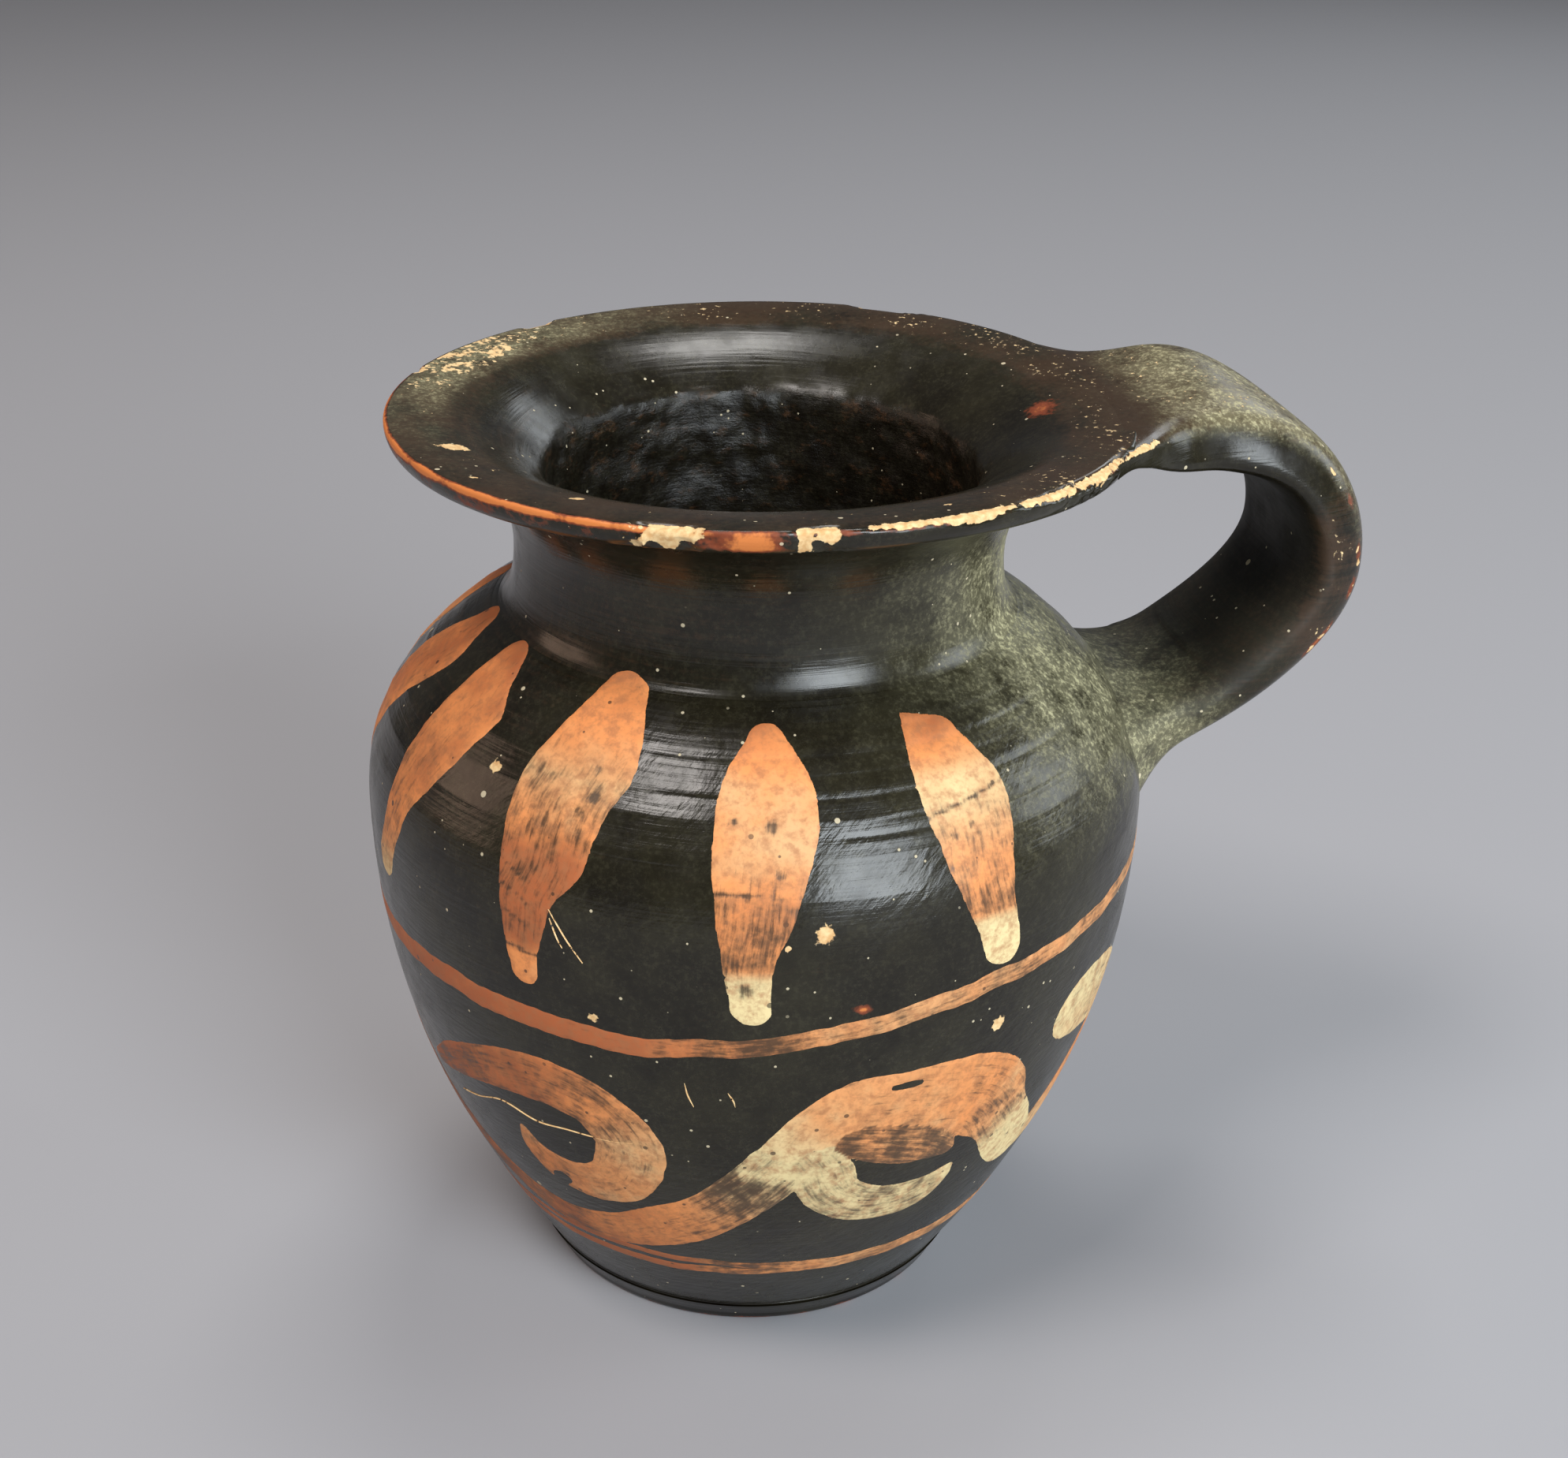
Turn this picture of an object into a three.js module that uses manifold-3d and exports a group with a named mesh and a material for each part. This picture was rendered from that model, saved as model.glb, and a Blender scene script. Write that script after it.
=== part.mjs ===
// Olpe: a small wheel-thrown jug of fired clay with a wide lip and one strap handle, coated in black gloss.
// Millimetres, +Z up along the axis of the wheel. The origin is the centre of the resting face, and the
// handle stands towards +X. The pieces are those that a potter joins with slip before firing.
import * as THREE from 'three';
import { mergeVertices } from 'three/addons/utils/BufferGeometryUtils.js';
import loadManifold from 'manifold-3d';

// Foot: a low turned disc
const FOOT_RADIUS = 21.4;
const FOOT_HEIGHT = 2.6;
const FOOT_EDGE = 0.6; // worn rounding of the resting edge
const FOOT_SPREAD = 1.2; // how far the wall above stands out past the resting edge

// Belly: floor, wall and shoulder thrown in one
const BELLY_RADIUS = 38.1;
const BELLY_RISE = 48.5; // from the foot's joint to the widest place
const SHOULDER_RISE = 18.7; // from the widest place to the neck's joint
const BASE_SLOPE = 58; // degrees from level, where the wall leaves the foot
const SHOULDER_SLOPE = 32; // degrees from level, where the shoulder meets the neck
const WALL = 3.0;
const FLOOR = 3.4;
const BASE_FULLNESS = 0.26; // share of the rise that the base slope carries on for
const BELLY_FULLNESS = 0.47; // share of the rise that the upright at the widest place carries on for
const SHOULDER_FULLNESS = 0.4; // the same, above the widest place
const SHOULDER_REACH = 0.8; // share of the shoulder's breadth that its slope carries on for
const SHOULDER_THINNING = 1.5; // how much lower the inside of the shoulder starts to turn in

// Neck and lip thrown in one
const NECK_RADIUS = 23.4; // outside, at the waist
const NECK_FLARE = 2.2; // how far the neck's foot stands out past its waist
const NECK_RISE = 19.4; // from the joint to the top of the lip
const WAIST_RISE = 5.5; // from the joint to the waist
const NECK_FOOT_FULLNESS = 0.33; // share of that rise at which the neck's foot has drawn in to the waist
const NECK_WALL = 2.9;
const FLARE_FULLNESS = 0.56; // share of the way to the lip that the waist's upright carries on for
const LIP_RADIUS = 35;
const LIP_EDGE = 2.2; // height of the lip's edge
const LIP_UNDERCUT = 0.9; // how far the edge's lower corner stands back
const LIP_ROUND = 0.5; // worn rounding of the edge's upper corner
const LIP_UNDERSIDE_FALL = 1.6; // fall of the lip's underside from its edge towards the neck
const LIP_UNDERSIDE_REACH = 7; // breadth of the flat part of that underside
const LIP_FLAT = 6.2; // breadth of the lip's nearly flat upper face
const LIP_DISH = 0.6; // fall of that face from the edge inwards
const MOUTH_FALL = 4.4; // fall of the sloping mouth, from that face down to the throat
const MOUTH_LEAD = 3.2; // how far the lip's face carries on before it slopes down into the mouth
const MOUTH_DIP = 0.9; // its fall over that way
const MOUTH_END = 1.6; // breadth of the steep lower end of the mouth's slope
const THROAT_STEP = 0.8; // how far the mouth's lower end stands out past the bore
const THROAT_FALL = 4.0; // from the mouth's lower end down to the plain bore
const THROAT_CORNER = 0.8; // how far below the mouth's lower end the rounding into the bore has its corner

// Slip: the thin layer that sticks two pieces together, and the clearances that keep the solids apart
const SLIP = 0.4;
const SLIP_INSET = 0.3; // the layer stands back from the outside as a fine groove
const GAP = 0.3; // between a piece and one that is cut to fit it

// Handle: a pulled strap, fanned and thinned where it meets the lip, and pressed on with a slight twist
const SEAT_DEPTH = 2.4; // how far inside the lip's edge the strap starts
const FAN_WIDTH = 37; // across the strap where it meets the lip's edge
const FAN_THICKNESS = 3.7;
const FAN_LENGTH = 15; // along the strap, from the lip's edge to where it has its own breadth
const FAN_SWEEP = 2.4; // how hollow the sides of the fan are: 1 is straight
const SEAT_LENGTH = 5.5; // along the strap, to where it leaves the lip and starts to thicken and twist
const THINNING_LENGTH = 12.5; // from there to where it has its own thickness
const STRAP_WIDTH = 22.7;
const STRAP_THICKNESS = 6.6;
const ROOT_WIDTH = 21.5;
const ROOT_THICKNESS = 5.4;
const ROOT_LENGTH = 24; // along the strap, over which it changes to the size of its root
const HUMP = 1.2; // how far the top of the strap stands above the lip
const TOP_REACH = 5.5; // from the lip's edge out to the top of the strap
const HANDLE_REACH = 20.9; // from the lip's edge out to the outermost place of the mid line
const HANDLE_DROP = 16.4; // from the lip's top down to that place
const ROOT_LIFT = 3.5; // height of the root above the belly's widest place
const ROOT_SINK = 2.1; // depth of the mid line's end behind the widest place
const ROOT_SLOPE = 39; // degrees that the strap falls by as it enters the wall
const ROOT_TAIL = 9; // straight end of the mid line inside the wall, which the wall cuts off
const LIP_LEAD = 5.3; // lengths over which the mid line keeps its direction at its knots
const TOP_LEAD = 6.7;
const OUTER_LEAD = 9;
const ROOT_LEAD = 8;
const STRAP_TWIST = 7; // degrees, at the most, that lift the strap's +Y edge
const TWIST_LENGTH = 20; // from where it leaves the lip to where the twist has died away
const STRAP_SQUARENESS = 3.0; // 2 is an ellipse, and more is squarer

// Clay smoothed round the ends of the strap
const BEAD = 1.6; // depth of the bead under the strap at the lip
const BEAD_REACH = 6; // how far that bead runs out under the strap
const COLLAR = 2.2; // how far the collar at the root stands out from the strap's sides at the wall
const COLLAR_ABOVE = 2.4; // the same on the strap's inner face, where a finger smoothed it most
const COLLAR_BELOW = 0.5; // the same on its outer face
const COLLAR_REACH = 9; // how far the collar runs out along the strap
const COLLAR_SWEEP = 2.6; // how hollow the collar is: 1 is straight
const COLLAR_RIM = 0.3; // thickness of the collar's outer rim

// Facets
const TURN_STEPS = 56;
const CURVE_STEPS = 6;
const STRAP_STEPS = 44; // along the whole strap
const FEWEST_STEPS = 11; // along a short stretch of it
const STRAP_SIDES = 20;
const SEARCH_STEPS = 300; // tries at finding a place on the strap's mid line

// Places that follow from the sizes
const BASE_RADIUS = FOOT_RADIUS + FOOT_SPREAD;
const BASE_Z = FOOT_HEIGHT + SLIP;
const WIDEST_Z = BASE_Z + BELLY_RISE;
const JOINT_Z = WIDEST_Z + SHOULDER_RISE;
const NECK_Z = JOINT_Z + SLIP;
const WAIST_Z = NECK_Z + WAIST_RISE;
const TOP_Z = NECK_Z + NECK_RISE;
const NECK_FOOT_RADIUS = NECK_RADIUS + NECK_FLARE;
const NECK_BORE = NECK_RADIUS - NECK_WALL;
const radians = THREE.MathUtils.degToRad;

const wasm = await loadManifold();
wasm.setup();

// Geometry with only merged positions, and without the flat triangles that a lathe leaves on its axis.
function bareGeometry(geometry) {
  const bare = geometry.clone();
  bare.deleteAttribute('normal');
  bare.deleteAttribute('uv');
  const merged = mergeVertices(bare);
  const corners = merged.index.array;
  const kept = [];
  for (let i = 0; i < corners.length; i += 3) {
    const [a, b, c] = [corners[i], corners[i + 1], corners[i + 2]];
    if (a !== b && b !== c && c !== a) kept.push(a, b, c);
  }
  merged.setIndex(kept);
  return merged;
}

function solidOf(geometry) {
  const bare = bareGeometry(geometry);
  return new wasm.Manifold(new wasm.Mesh({
    numProp: 3,
    vertProperties: new Float32Array(bare.attributes.position.array),
    triVerts: new Uint32Array(bare.index.array),
  }));
}

function geometryOf(solid) {
  const mesh = solid.getMesh();
  const geometry = new THREE.BufferGeometry();
  geometry.setAttribute('position', new THREE.BufferAttribute(new Float32Array(mesh.vertProperties), 3));
  geometry.setIndex(new THREE.BufferAttribute(new Uint32Array(mesh.triVerts), 1));
  return geometry;
}

// Solid of revolution about Z from an outline drawn as (radius, height).
function turned(path) {
  const geometry = new THREE.LatheGeometry(path.getPoints(CURVE_STEPS), TURN_STEPS);
  geometry.rotateX(Math.PI / 2);
  return bareGeometry(geometry);
}

// Foot

function footOutline() {
  const path = new THREE.Path();
  path.moveTo(0, 0);
  path.lineTo(FOOT_RADIUS - FOOT_EDGE, 0);
  path.quadraticCurveTo(FOOT_RADIUS, 0, FOOT_RADIUS, FOOT_EDGE);
  path.lineTo(BASE_RADIUS, FOOT_HEIGHT);
  path.lineTo(0, FOOT_HEIGHT);
  return path;
}

function footSlipOutline() {
  const path = new THREE.Path();
  path.moveTo(0, FOOT_HEIGHT);
  path.lineTo(BASE_RADIUS - SLIP_INSET, FOOT_HEIGHT);
  path.lineTo(BASE_RADIUS - SLIP_INSET, BASE_Z);
  path.lineTo(0, BASE_Z);
  return path;
}

// Belly

// Draws the outside of the wall from the foot up to the neck's joint, moved out by grow.
function drawBellyOutside(path, grow) {
  const base = BASE_RADIUS + grow;
  const widest = BELLY_RADIUS + grow;
  const joint = NECK_FOOT_RADIUS + grow;
  const baseRun = BELLY_RISE * BASE_FULLNESS;
  const shoulderRun = (widest - joint) * SHOULDER_REACH;
  const shoulderFall = shoulderRun * Math.sin(radians(SHOULDER_SLOPE));
  path.lineTo(base, BASE_Z);
  path.bezierCurveTo(
    base + baseRun * Math.cos(radians(BASE_SLOPE)), BASE_Z + baseRun * Math.sin(radians(BASE_SLOPE)),
    widest, WIDEST_Z - BELLY_RISE * BELLY_FULLNESS,
    widest, WIDEST_Z,
  );
  path.bezierCurveTo(
    widest, WIDEST_Z + SHOULDER_RISE * SHOULDER_FULLNESS,
    joint + shoulderRun * Math.cos(radians(SHOULDER_SLOPE)), JOINT_Z - shoulderFall,
    joint, JOINT_Z,
  );
}

function bellyOutline() {
  const widest = BELLY_RADIUS - WALL;
  const floorRadius = BASE_RADIUS - WALL;
  const floorZ = BASE_Z + FLOOR;
  const floorRun = (BELLY_RISE - FLOOR) * BASE_FULLNESS;
  const floorClimb = floorRun * Math.sin(radians(BASE_SLOPE));
  const shoulderRun = (widest - NECK_BORE) * SHOULDER_REACH;
  const shoulderFall = shoulderRun * Math.sin(radians(SHOULDER_SLOPE));
  const path = new THREE.Path();
  path.moveTo(0, BASE_Z);
  drawBellyOutside(path, 0);
  path.lineTo(NECK_BORE, JOINT_Z);
  path.bezierCurveTo(
    NECK_BORE + shoulderRun * Math.cos(radians(SHOULDER_SLOPE)), JOINT_Z - shoulderFall,
    widest, WIDEST_Z + SHOULDER_RISE * SHOULDER_FULLNESS - SHOULDER_THINNING,
    widest, WIDEST_Z,
  );
  path.bezierCurveTo(
    widest, WIDEST_Z - BELLY_RISE * BELLY_FULLNESS,
    floorRadius + floorRun * Math.cos(radians(BASE_SLOPE)), floorZ + floorClimb,
    floorRadius, floorZ,
  );
  path.lineTo(0, floorZ);
  return path;
}

// Everything inside the wall's outside moved out by grow, to cut what fits against the wall.
function bellyEnvelope(grow) {
  const path = new THREE.Path();
  path.moveTo(0, BASE_Z);
  drawBellyOutside(path, grow);
  path.lineTo(0, JOINT_Z);
  return solidOf(turned(path));
}

// Neck and lip

function neckSlipOutline() {
  const outer = NECK_FOOT_RADIUS - SLIP_INSET;
  const path = new THREE.Path();
  path.moveTo(NECK_BORE, JOINT_Z);
  path.lineTo(outer, JOINT_Z);
  path.lineTo(outer, NECK_Z);
  path.lineTo(NECK_BORE, NECK_Z);
  path.closePath();
  return path;
}

// Draws the outside of the neck, the lip's underside and its edge, moved out by grow.
function drawNeckOutside(path, grow) {
  const waist = NECK_RADIUS + grow;
  const lip = LIP_RADIUS + grow;
  const lipLow = TOP_Z - LIP_EDGE - grow;
  path.lineTo(NECK_FOOT_RADIUS + grow, NECK_Z);
  path.quadraticCurveTo(waist, NECK_Z + WAIST_RISE * NECK_FOOT_FULLNESS, waist, WAIST_Z);
  path.bezierCurveTo(
    waist, WAIST_Z + (lipLow - WAIST_Z) * FLARE_FULLNESS,
    lip - LIP_UNDERCUT - LIP_UNDERSIDE_REACH, lipLow - LIP_UNDERSIDE_FALL,
    lip - LIP_UNDERCUT, lipLow,
  );
  path.lineTo(lip, TOP_Z + grow - LIP_ROUND);
  path.quadraticCurveTo(lip, TOP_Z + grow, lip - LIP_ROUND, TOP_Z + grow);
}

function neckOutline() {
  const flat = LIP_RADIUS - LIP_FLAT;
  const flatZ = TOP_Z - LIP_DISH;
  const throat = NECK_BORE + THROAT_STEP;
  const throatZ = flatZ - MOUTH_FALL;
  const path = new THREE.Path();
  path.moveTo(NECK_BORE, NECK_Z);
  drawNeckOutside(path, 0);
  path.quadraticCurveTo((LIP_RADIUS + flat) / 2, TOP_Z, flat, flatZ);
  path.bezierCurveTo(
    flat - MOUTH_LEAD, flatZ - MOUTH_DIP,
    throat + MOUTH_END, throatZ + MOUTH_END,
    throat, throatZ,
  );
  path.quadraticCurveTo(NECK_BORE, throatZ - THROAT_CORNER, NECK_BORE, throatZ - THROAT_FALL);
  path.closePath();
  return path;
}

function neckEnvelope(grow) {
  const path = new THREE.Path();
  path.moveTo(0, NECK_Z);
  drawNeckOutside(path, grow);
  path.lineTo(0, TOP_Z + grow);
  return solidOf(turned(path));
}

// Handle

// Mid line of the strap in the XZ plane: level out of the lip, over the top, down and back into the wall.
function strapMidLine() {
  const lipSeat = Math.sqrt(LIP_RADIUS ** 2 - (FAN_WIDTH / 2) ** 2) - SEAT_DEPTH;
  const start = new THREE.Vector3(lipSeat, 0, TOP_Z - FAN_THICKNESS / 2);
  const top = new THREE.Vector3(LIP_RADIUS + TOP_REACH, 0, TOP_Z + HUMP - STRAP_THICKNESS / 2);
  const outermost = new THREE.Vector3(LIP_RADIUS + HANDLE_REACH, 0, TOP_Z - HANDLE_DROP);
  const root = new THREE.Vector3(BELLY_RADIUS - ROOT_SINK, 0, WIDEST_Z + ROOT_LIFT);
  const level = new THREE.Vector3(1, 0, 0);
  const down = new THREE.Vector3(0, 0, -1);
  const inward = new THREE.Vector3(-Math.cos(radians(ROOT_SLOPE)), 0, -Math.sin(radians(ROOT_SLOPE)));
  const along = (point, direction, length) => point.clone().addScaledVector(direction, length);
  const line = new THREE.CurvePath();
  line.add(new THREE.CubicBezierCurve3(
    start, along(start, level, LIP_LEAD), along(top, level, -TOP_LEAD), top,
  ));
  line.add(new THREE.CubicBezierCurve3(
    top, along(top, level, TOP_LEAD), along(outermost, down, -OUTER_LEAD), outermost,
  ));
  line.add(new THREE.CubicBezierCurve3(
    outermost, along(outermost, down, OUTER_LEAD), along(root, inward, -ROOT_LEAD), root,
  ));
  line.add(new THREE.LineCurve3(root, along(root, inward, ROOT_TAIL)));
  return line;
}

const midLine = strapMidLine();
const midLength = midLine.getLength();

// Breadth, thickness and twist of the strap at a share of its length.
function strapSize(share) {
  const place = share * midLength;
  const rootPlace = midLength - ROOT_TAIL;
  const fan = THREE.MathUtils.clamp(1 - (place - SEAT_DEPTH) / FAN_LENGTH, 0, 1) ** FAN_SWEEP;
  const free = Math.max(0, place - SEAT_LENGTH);
  const thin = 1 - THREE.MathUtils.smoothstep(free, 0, THINNING_LENGTH);
  const root = THREE.MathUtils.smoothstep(place, rootPlace - ROOT_LENGTH, rootPlace);
  const thinning = thin * (STRAP_THICKNESS - FAN_THICKNESS) + root * (STRAP_THICKNESS - ROOT_THICKNESS);
  return {
    width: STRAP_WIDTH + fan * (FAN_WIDTH - STRAP_WIDTH) + root * (ROOT_WIDTH - STRAP_WIDTH),
    thickness: STRAP_THICKNESS - thinning,
    twist: radians(STRAP_TWIST) * Math.sin(Math.PI * Math.min(1, free / TWIST_LENGTH)) ** 2,
  };
}

// Closed loft of the strap from one share of its length to another. grow(share) gives how far the sides,
// the outer face and the inner face stand out past the strap's own.
function strapLoft(from, to, grow) {
  const steps = Math.max(FEWEST_STEPS, Math.round(STRAP_STEPS * (to - from)));
  const positions = [];
  const rounded = (value) => Math.sign(value) * Math.abs(value) ** (2 / STRAP_SQUARENESS);
  for (let i = 0; i <= steps; i += 1) {
    const share = from + (to - from) * (i / steps);
    const centre = midLine.getPointAt(share);
    const along = midLine.getTangentAt(share);
    const { width, thickness, twist } = strapSize(share);
    const { side, outer, inner } = grow(share);
    const across = new THREE.Vector3(0, 1, 0).applyAxisAngle(along, twist);
    const outward = along.clone().cross(across);
    for (let j = 0; j < STRAP_SIDES; j += 1) {
      const angle = (2 * Math.PI * j) / STRAP_SIDES;
      const sideways = rounded(Math.cos(angle)) * (width / 2 + side);
      const raise = rounded(Math.sin(angle));
      const lift = raise * (thickness / 2 + (raise > 0 ? outer : inner));
      const point = centre.clone().addScaledVector(across, sideways).addScaledVector(outward, lift);
      positions.push(point.x, point.y, point.z);
    }
  }
  const index = [];
  for (let i = 0; i < steps; i += 1) {
    for (let j = 0; j < STRAP_SIDES; j += 1) {
      const a = i * STRAP_SIDES + j;
      const b = i * STRAP_SIDES + ((j + 1) % STRAP_SIDES);
      index.push(a, b, a + STRAP_SIDES, b, b + STRAP_SIDES, a + STRAP_SIDES);
    }
  }
  const last = steps * STRAP_SIDES;
  for (let j = 1; j < STRAP_SIDES - 1; j += 1) {
    index.push(0, j + 1, j, last, last + j, last + j + 1);
  }
  const geometry = new THREE.BufferGeometry();
  geometry.setAttribute('position', new THREE.Float32BufferAttribute(positions, 3));
  geometry.setIndex(index);
  return solidOf(geometry);
}

const evenly = (amount) => () => ({ side: amount, outer: amount, inner: amount });

// Share of the mid line's length at the first place after a given share that passes a test.
function shareWhere(from, test) {
  for (let i = 0; i <= SEARCH_STEPS; i += 1) {
    const share = from + (1 - from) * (i / SEARCH_STEPS);
    if (test(midLine.getPointAt(share))) return share;
  }
  return 1;
}
const [, lengthToOutermost] = midLine.getCurveLengths();
const lipShare = shareWhere(0, (point) => point.x >= LIP_RADIUS);
const wallShare = shareWhere(lengthToOutermost / midLength, (point) => point.x <= BELLY_RADIUS);

// The strap stops short of the lip and the wall by a layer of slip and a gap on each side of it.
const seat = GAP + SLIP + GAP;
function makeHandle() {
  const strap = strapLoft(0, 1, evenly(0));
  return geometryOf(strap.subtract(neckEnvelope(seat)).subtract(bellyEnvelope(seat)));
}

// Slip on the lip's edge, with a bead that dies away under the strap.
function makeUpperSlip() {
  const end = lipShare + BEAD_REACH / midLength;
  const bead = (share) => {
    const left = THREE.MathUtils.clamp((end - share) / (end - lipShare), 0, 1);
    return { side: 0, outer: 0, inner: GAP + BEAD * left };
  };
  const strap = strapLoft(0, 1, evenly(GAP)).subtract(neckEnvelope(GAP + SLIP));
  return geometryOf(strapLoft(0, end, bead).subtract(strap).subtract(neckEnvelope(GAP)));
}

// Slip on the wall, with a collar that hollows out from the wall to the strap.
function makeLowerSlip() {
  const start = wallShare - COLLAR_REACH / midLength;
  const collar = (share) => {
    const near = THREE.MathUtils.clamp((share - start) / (wallShare - start), 0, 1);
    const stand = (most) => GAP + COLLAR_RIM + most * near ** COLLAR_SWEEP;
    return { side: stand(COLLAR), outer: stand(COLLAR_BELOW), inner: stand(COLLAR_ABOVE) };
  };
  const strap = strapLoft(0, 1, evenly(GAP)).subtract(bellyEnvelope(GAP + SLIP));
  return geometryOf(strapLoft(start, 1, collar).subtract(strap).subtract(bellyEnvelope(GAP)));
}

// Finishes: black gloss over most of the pot, and bare fired clay where two pieces are stuck together
const BLACK_GLOSS = { color: 0x1b1a15, roughness: 0.32, metalness: 0 };
const FIRED_CLAY = { color: 0xa9582f, roughness: 0.85, metalness: 0 };

const olpe = new THREE.Group();
function addPiece(name, geometry, finish) {
  const piece = new THREE.Mesh(geometry, new THREE.MeshStandardMaterial(finish));
  piece.name = name;
  olpe.add(piece);
}

addPiece('foot', turned(footOutline()), BLACK_GLOSS);
addPiece('foot_slip', turned(footSlipOutline()), FIRED_CLAY);
addPiece('belly', turned(bellyOutline()), BLACK_GLOSS);
addPiece('neck_slip', turned(neckSlipOutline()), FIRED_CLAY);
addPiece('neck_and_lip', turned(neckOutline()), BLACK_GLOSS);
addPiece('handle', makeHandle(), BLACK_GLOSS);
addPiece('handle_upper_slip', makeUpperSlip(), FIRED_CLAY);
addPiece('handle_lower_slip', makeLowerSlip(), FIRED_CLAY);

export default olpe;
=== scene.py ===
import math
import bpy
import numpy as np
from mathutils import Matrix, Vector, noise


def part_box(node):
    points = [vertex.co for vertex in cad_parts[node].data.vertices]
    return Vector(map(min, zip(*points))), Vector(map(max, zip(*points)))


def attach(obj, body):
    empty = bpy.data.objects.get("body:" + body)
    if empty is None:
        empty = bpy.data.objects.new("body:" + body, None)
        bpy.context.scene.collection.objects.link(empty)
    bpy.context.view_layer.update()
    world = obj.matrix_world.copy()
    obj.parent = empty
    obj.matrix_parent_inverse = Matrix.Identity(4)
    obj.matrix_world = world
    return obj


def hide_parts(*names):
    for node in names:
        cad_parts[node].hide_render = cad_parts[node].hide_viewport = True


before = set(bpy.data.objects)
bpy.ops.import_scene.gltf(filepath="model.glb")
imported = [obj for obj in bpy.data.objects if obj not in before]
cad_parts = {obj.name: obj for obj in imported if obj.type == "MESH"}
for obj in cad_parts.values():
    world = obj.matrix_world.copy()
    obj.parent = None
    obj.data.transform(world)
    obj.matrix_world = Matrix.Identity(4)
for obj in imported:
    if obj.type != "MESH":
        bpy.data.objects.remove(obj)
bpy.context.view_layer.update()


# Foot: a low disc of the pot's own clay, turned on the wheel and stuck under the belly with slip.
# Its side took the black gloss; the face that it stands on was wiped and fired bare.
MM = 0.001
TURN_STEPS = 512
SHARP_CORNER = math.radians(50)


def size_of(node):
    """Lowest and highest corner of a solid, in millimetres."""
    low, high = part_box(node)
    return np.array(low) / MM, np.array(high) / MM


foot_high = size_of("foot")[1]
foot_slip_high = size_of("foot_slip")[1]
FOOT_SPREAD = 1.2
FOOT_EDGE = 0.7
FOOT_BARE_EDGE = 1.4
foot_top_radius = foot_high[1]
foot_radius = foot_top_radius - FOOT_SPREAD


def straight(start, end, step=0.5):
    """Points from start up to but not including end."""
    start, end = np.array(start, float), np.array(end, float)
    share = np.linspace(0, 1, max(1, round(np.linalg.norm(end - start) / step)), endpoint=False)
    return start + share[:, None] * (end - start)


def bent(start, leave, arrive, end, step=0.4):
    """Points of a cubic curve from start up to but not including end."""
    corners = [np.array(point, float) for point in (start, leave, arrive, end)]
    length = sum(np.linalg.norm(b - a) for a, b in zip(corners, corners[1:]))
    share = np.linspace(0, 1, max(2, round(length / step)), endpoint=False)[:, None]
    rest = 1 - share
    return (rest ** 3 * corners[0] + 3 * rest ** 2 * share * corners[1]
            + 3 * rest * share ** 2 * corners[2] + share ** 3 * corners[3])


def clay_object(name, points, faces):
    """A piece from points in millimetres, shaded smooth up to its sharp corners."""
    mesh = bpy.data.meshes.new(name)
    mesh.from_pydata((np.asarray(points) * MM).tolist(), [], faces)
    mesh.shade_smooth()
    mesh.set_sharp_from_angle(angle=SHARP_CORNER)
    piece = bpy.data.objects.new(name, mesh)
    bpy.context.scene.collection.objects.link(piece)
    return piece


def around(angle, radius, height):
    """Points from an angle in degrees, which starts at the front (-Y) and grows towards the handle (+X)."""
    turn = np.radians(angle)
    return np.stack([radius * np.sin(turn), -radius * np.cos(turn), height + 0 * turn], -1)


def thrown(name, outline, warp, ring=False):
    """A piece turned from an outline of (radius, height) that runs out along the bottom, up the outside
    and back inside. A ring closes on itself; any other piece starts and ends on the axis."""
    rows = np.asarray(outline, float)
    inner_rows = rows if ring else rows[1:-1]
    count = len(inner_rows)
    angle = np.repeat(np.arange(TURN_STEPS) * 360 / TURN_STEPS, count)
    radius = np.tile(inner_rows[:, 0], TURN_STEPS)
    height = np.tile(inner_rows[:, 1], TURN_STEPS)
    points = warp(angle, radius, height)
    faces = []
    for turn in range(TURN_STEPS):
        here = turn * count
        beside = (turn + 1) % TURN_STEPS * count
        for row in range(count if ring else count - 1):
            above = (row + 1) % count
            faces.append((here + row, beside + row, beside + above, here + above))
    if not ring:
        pole = len(points)
        points = np.vstack([points, (0, 0, rows[0, 1]), (0, 0, rows[-1, 1])])
        for turn in range(TURN_STEPS):
            here = turn * count
            beside = (turn + 1) % TURN_STEPS * count
            faces.append((pole, beside, here))
            faces.append((pole + 1, here + count - 1, beside + count - 1))
    return clay_object(name, points, faces)


def mark(piece, name, values):
    """A number for each point of a piece, which its finish reads."""
    layer = piece.data.attributes.new(name, "FLOAT", "POINT")
    layer.data.foreach_set("value", np.clip(values, 0, 1).astype(np.float32))


def places(piece):
    """Angle, radius and height of each point of a piece, and the points, in millimetres."""
    points = np.empty(len(piece.data.vertices) * 3, np.float32)
    piece.data.vertices.foreach_get("co", points)
    points = points.reshape(-1, 3).astype(float) / MM
    angle = np.degrees(np.arctan2(points[:, 0], -points[:, 1]))
    return angle, np.hypot(points[:, 0], points[:, 1]), points[:, 2], points


def clouds(points, lump, seed):
    """Smooth noise between about -1 and 1 at each point, in lumps of the given size."""
    shift = Vector((7.3 * seed, 3.1 * seed, 5.7 * seed))
    return np.array([noise.noise(Vector(point) / lump + shift) for point in points])


def step_up(value, low, high):
    """Smooth step from 0 at low to 1 at high."""
    share = np.clip((value - low) / (high - low), 0, 1)
    return share * share * (3 - 2 * share)


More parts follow.
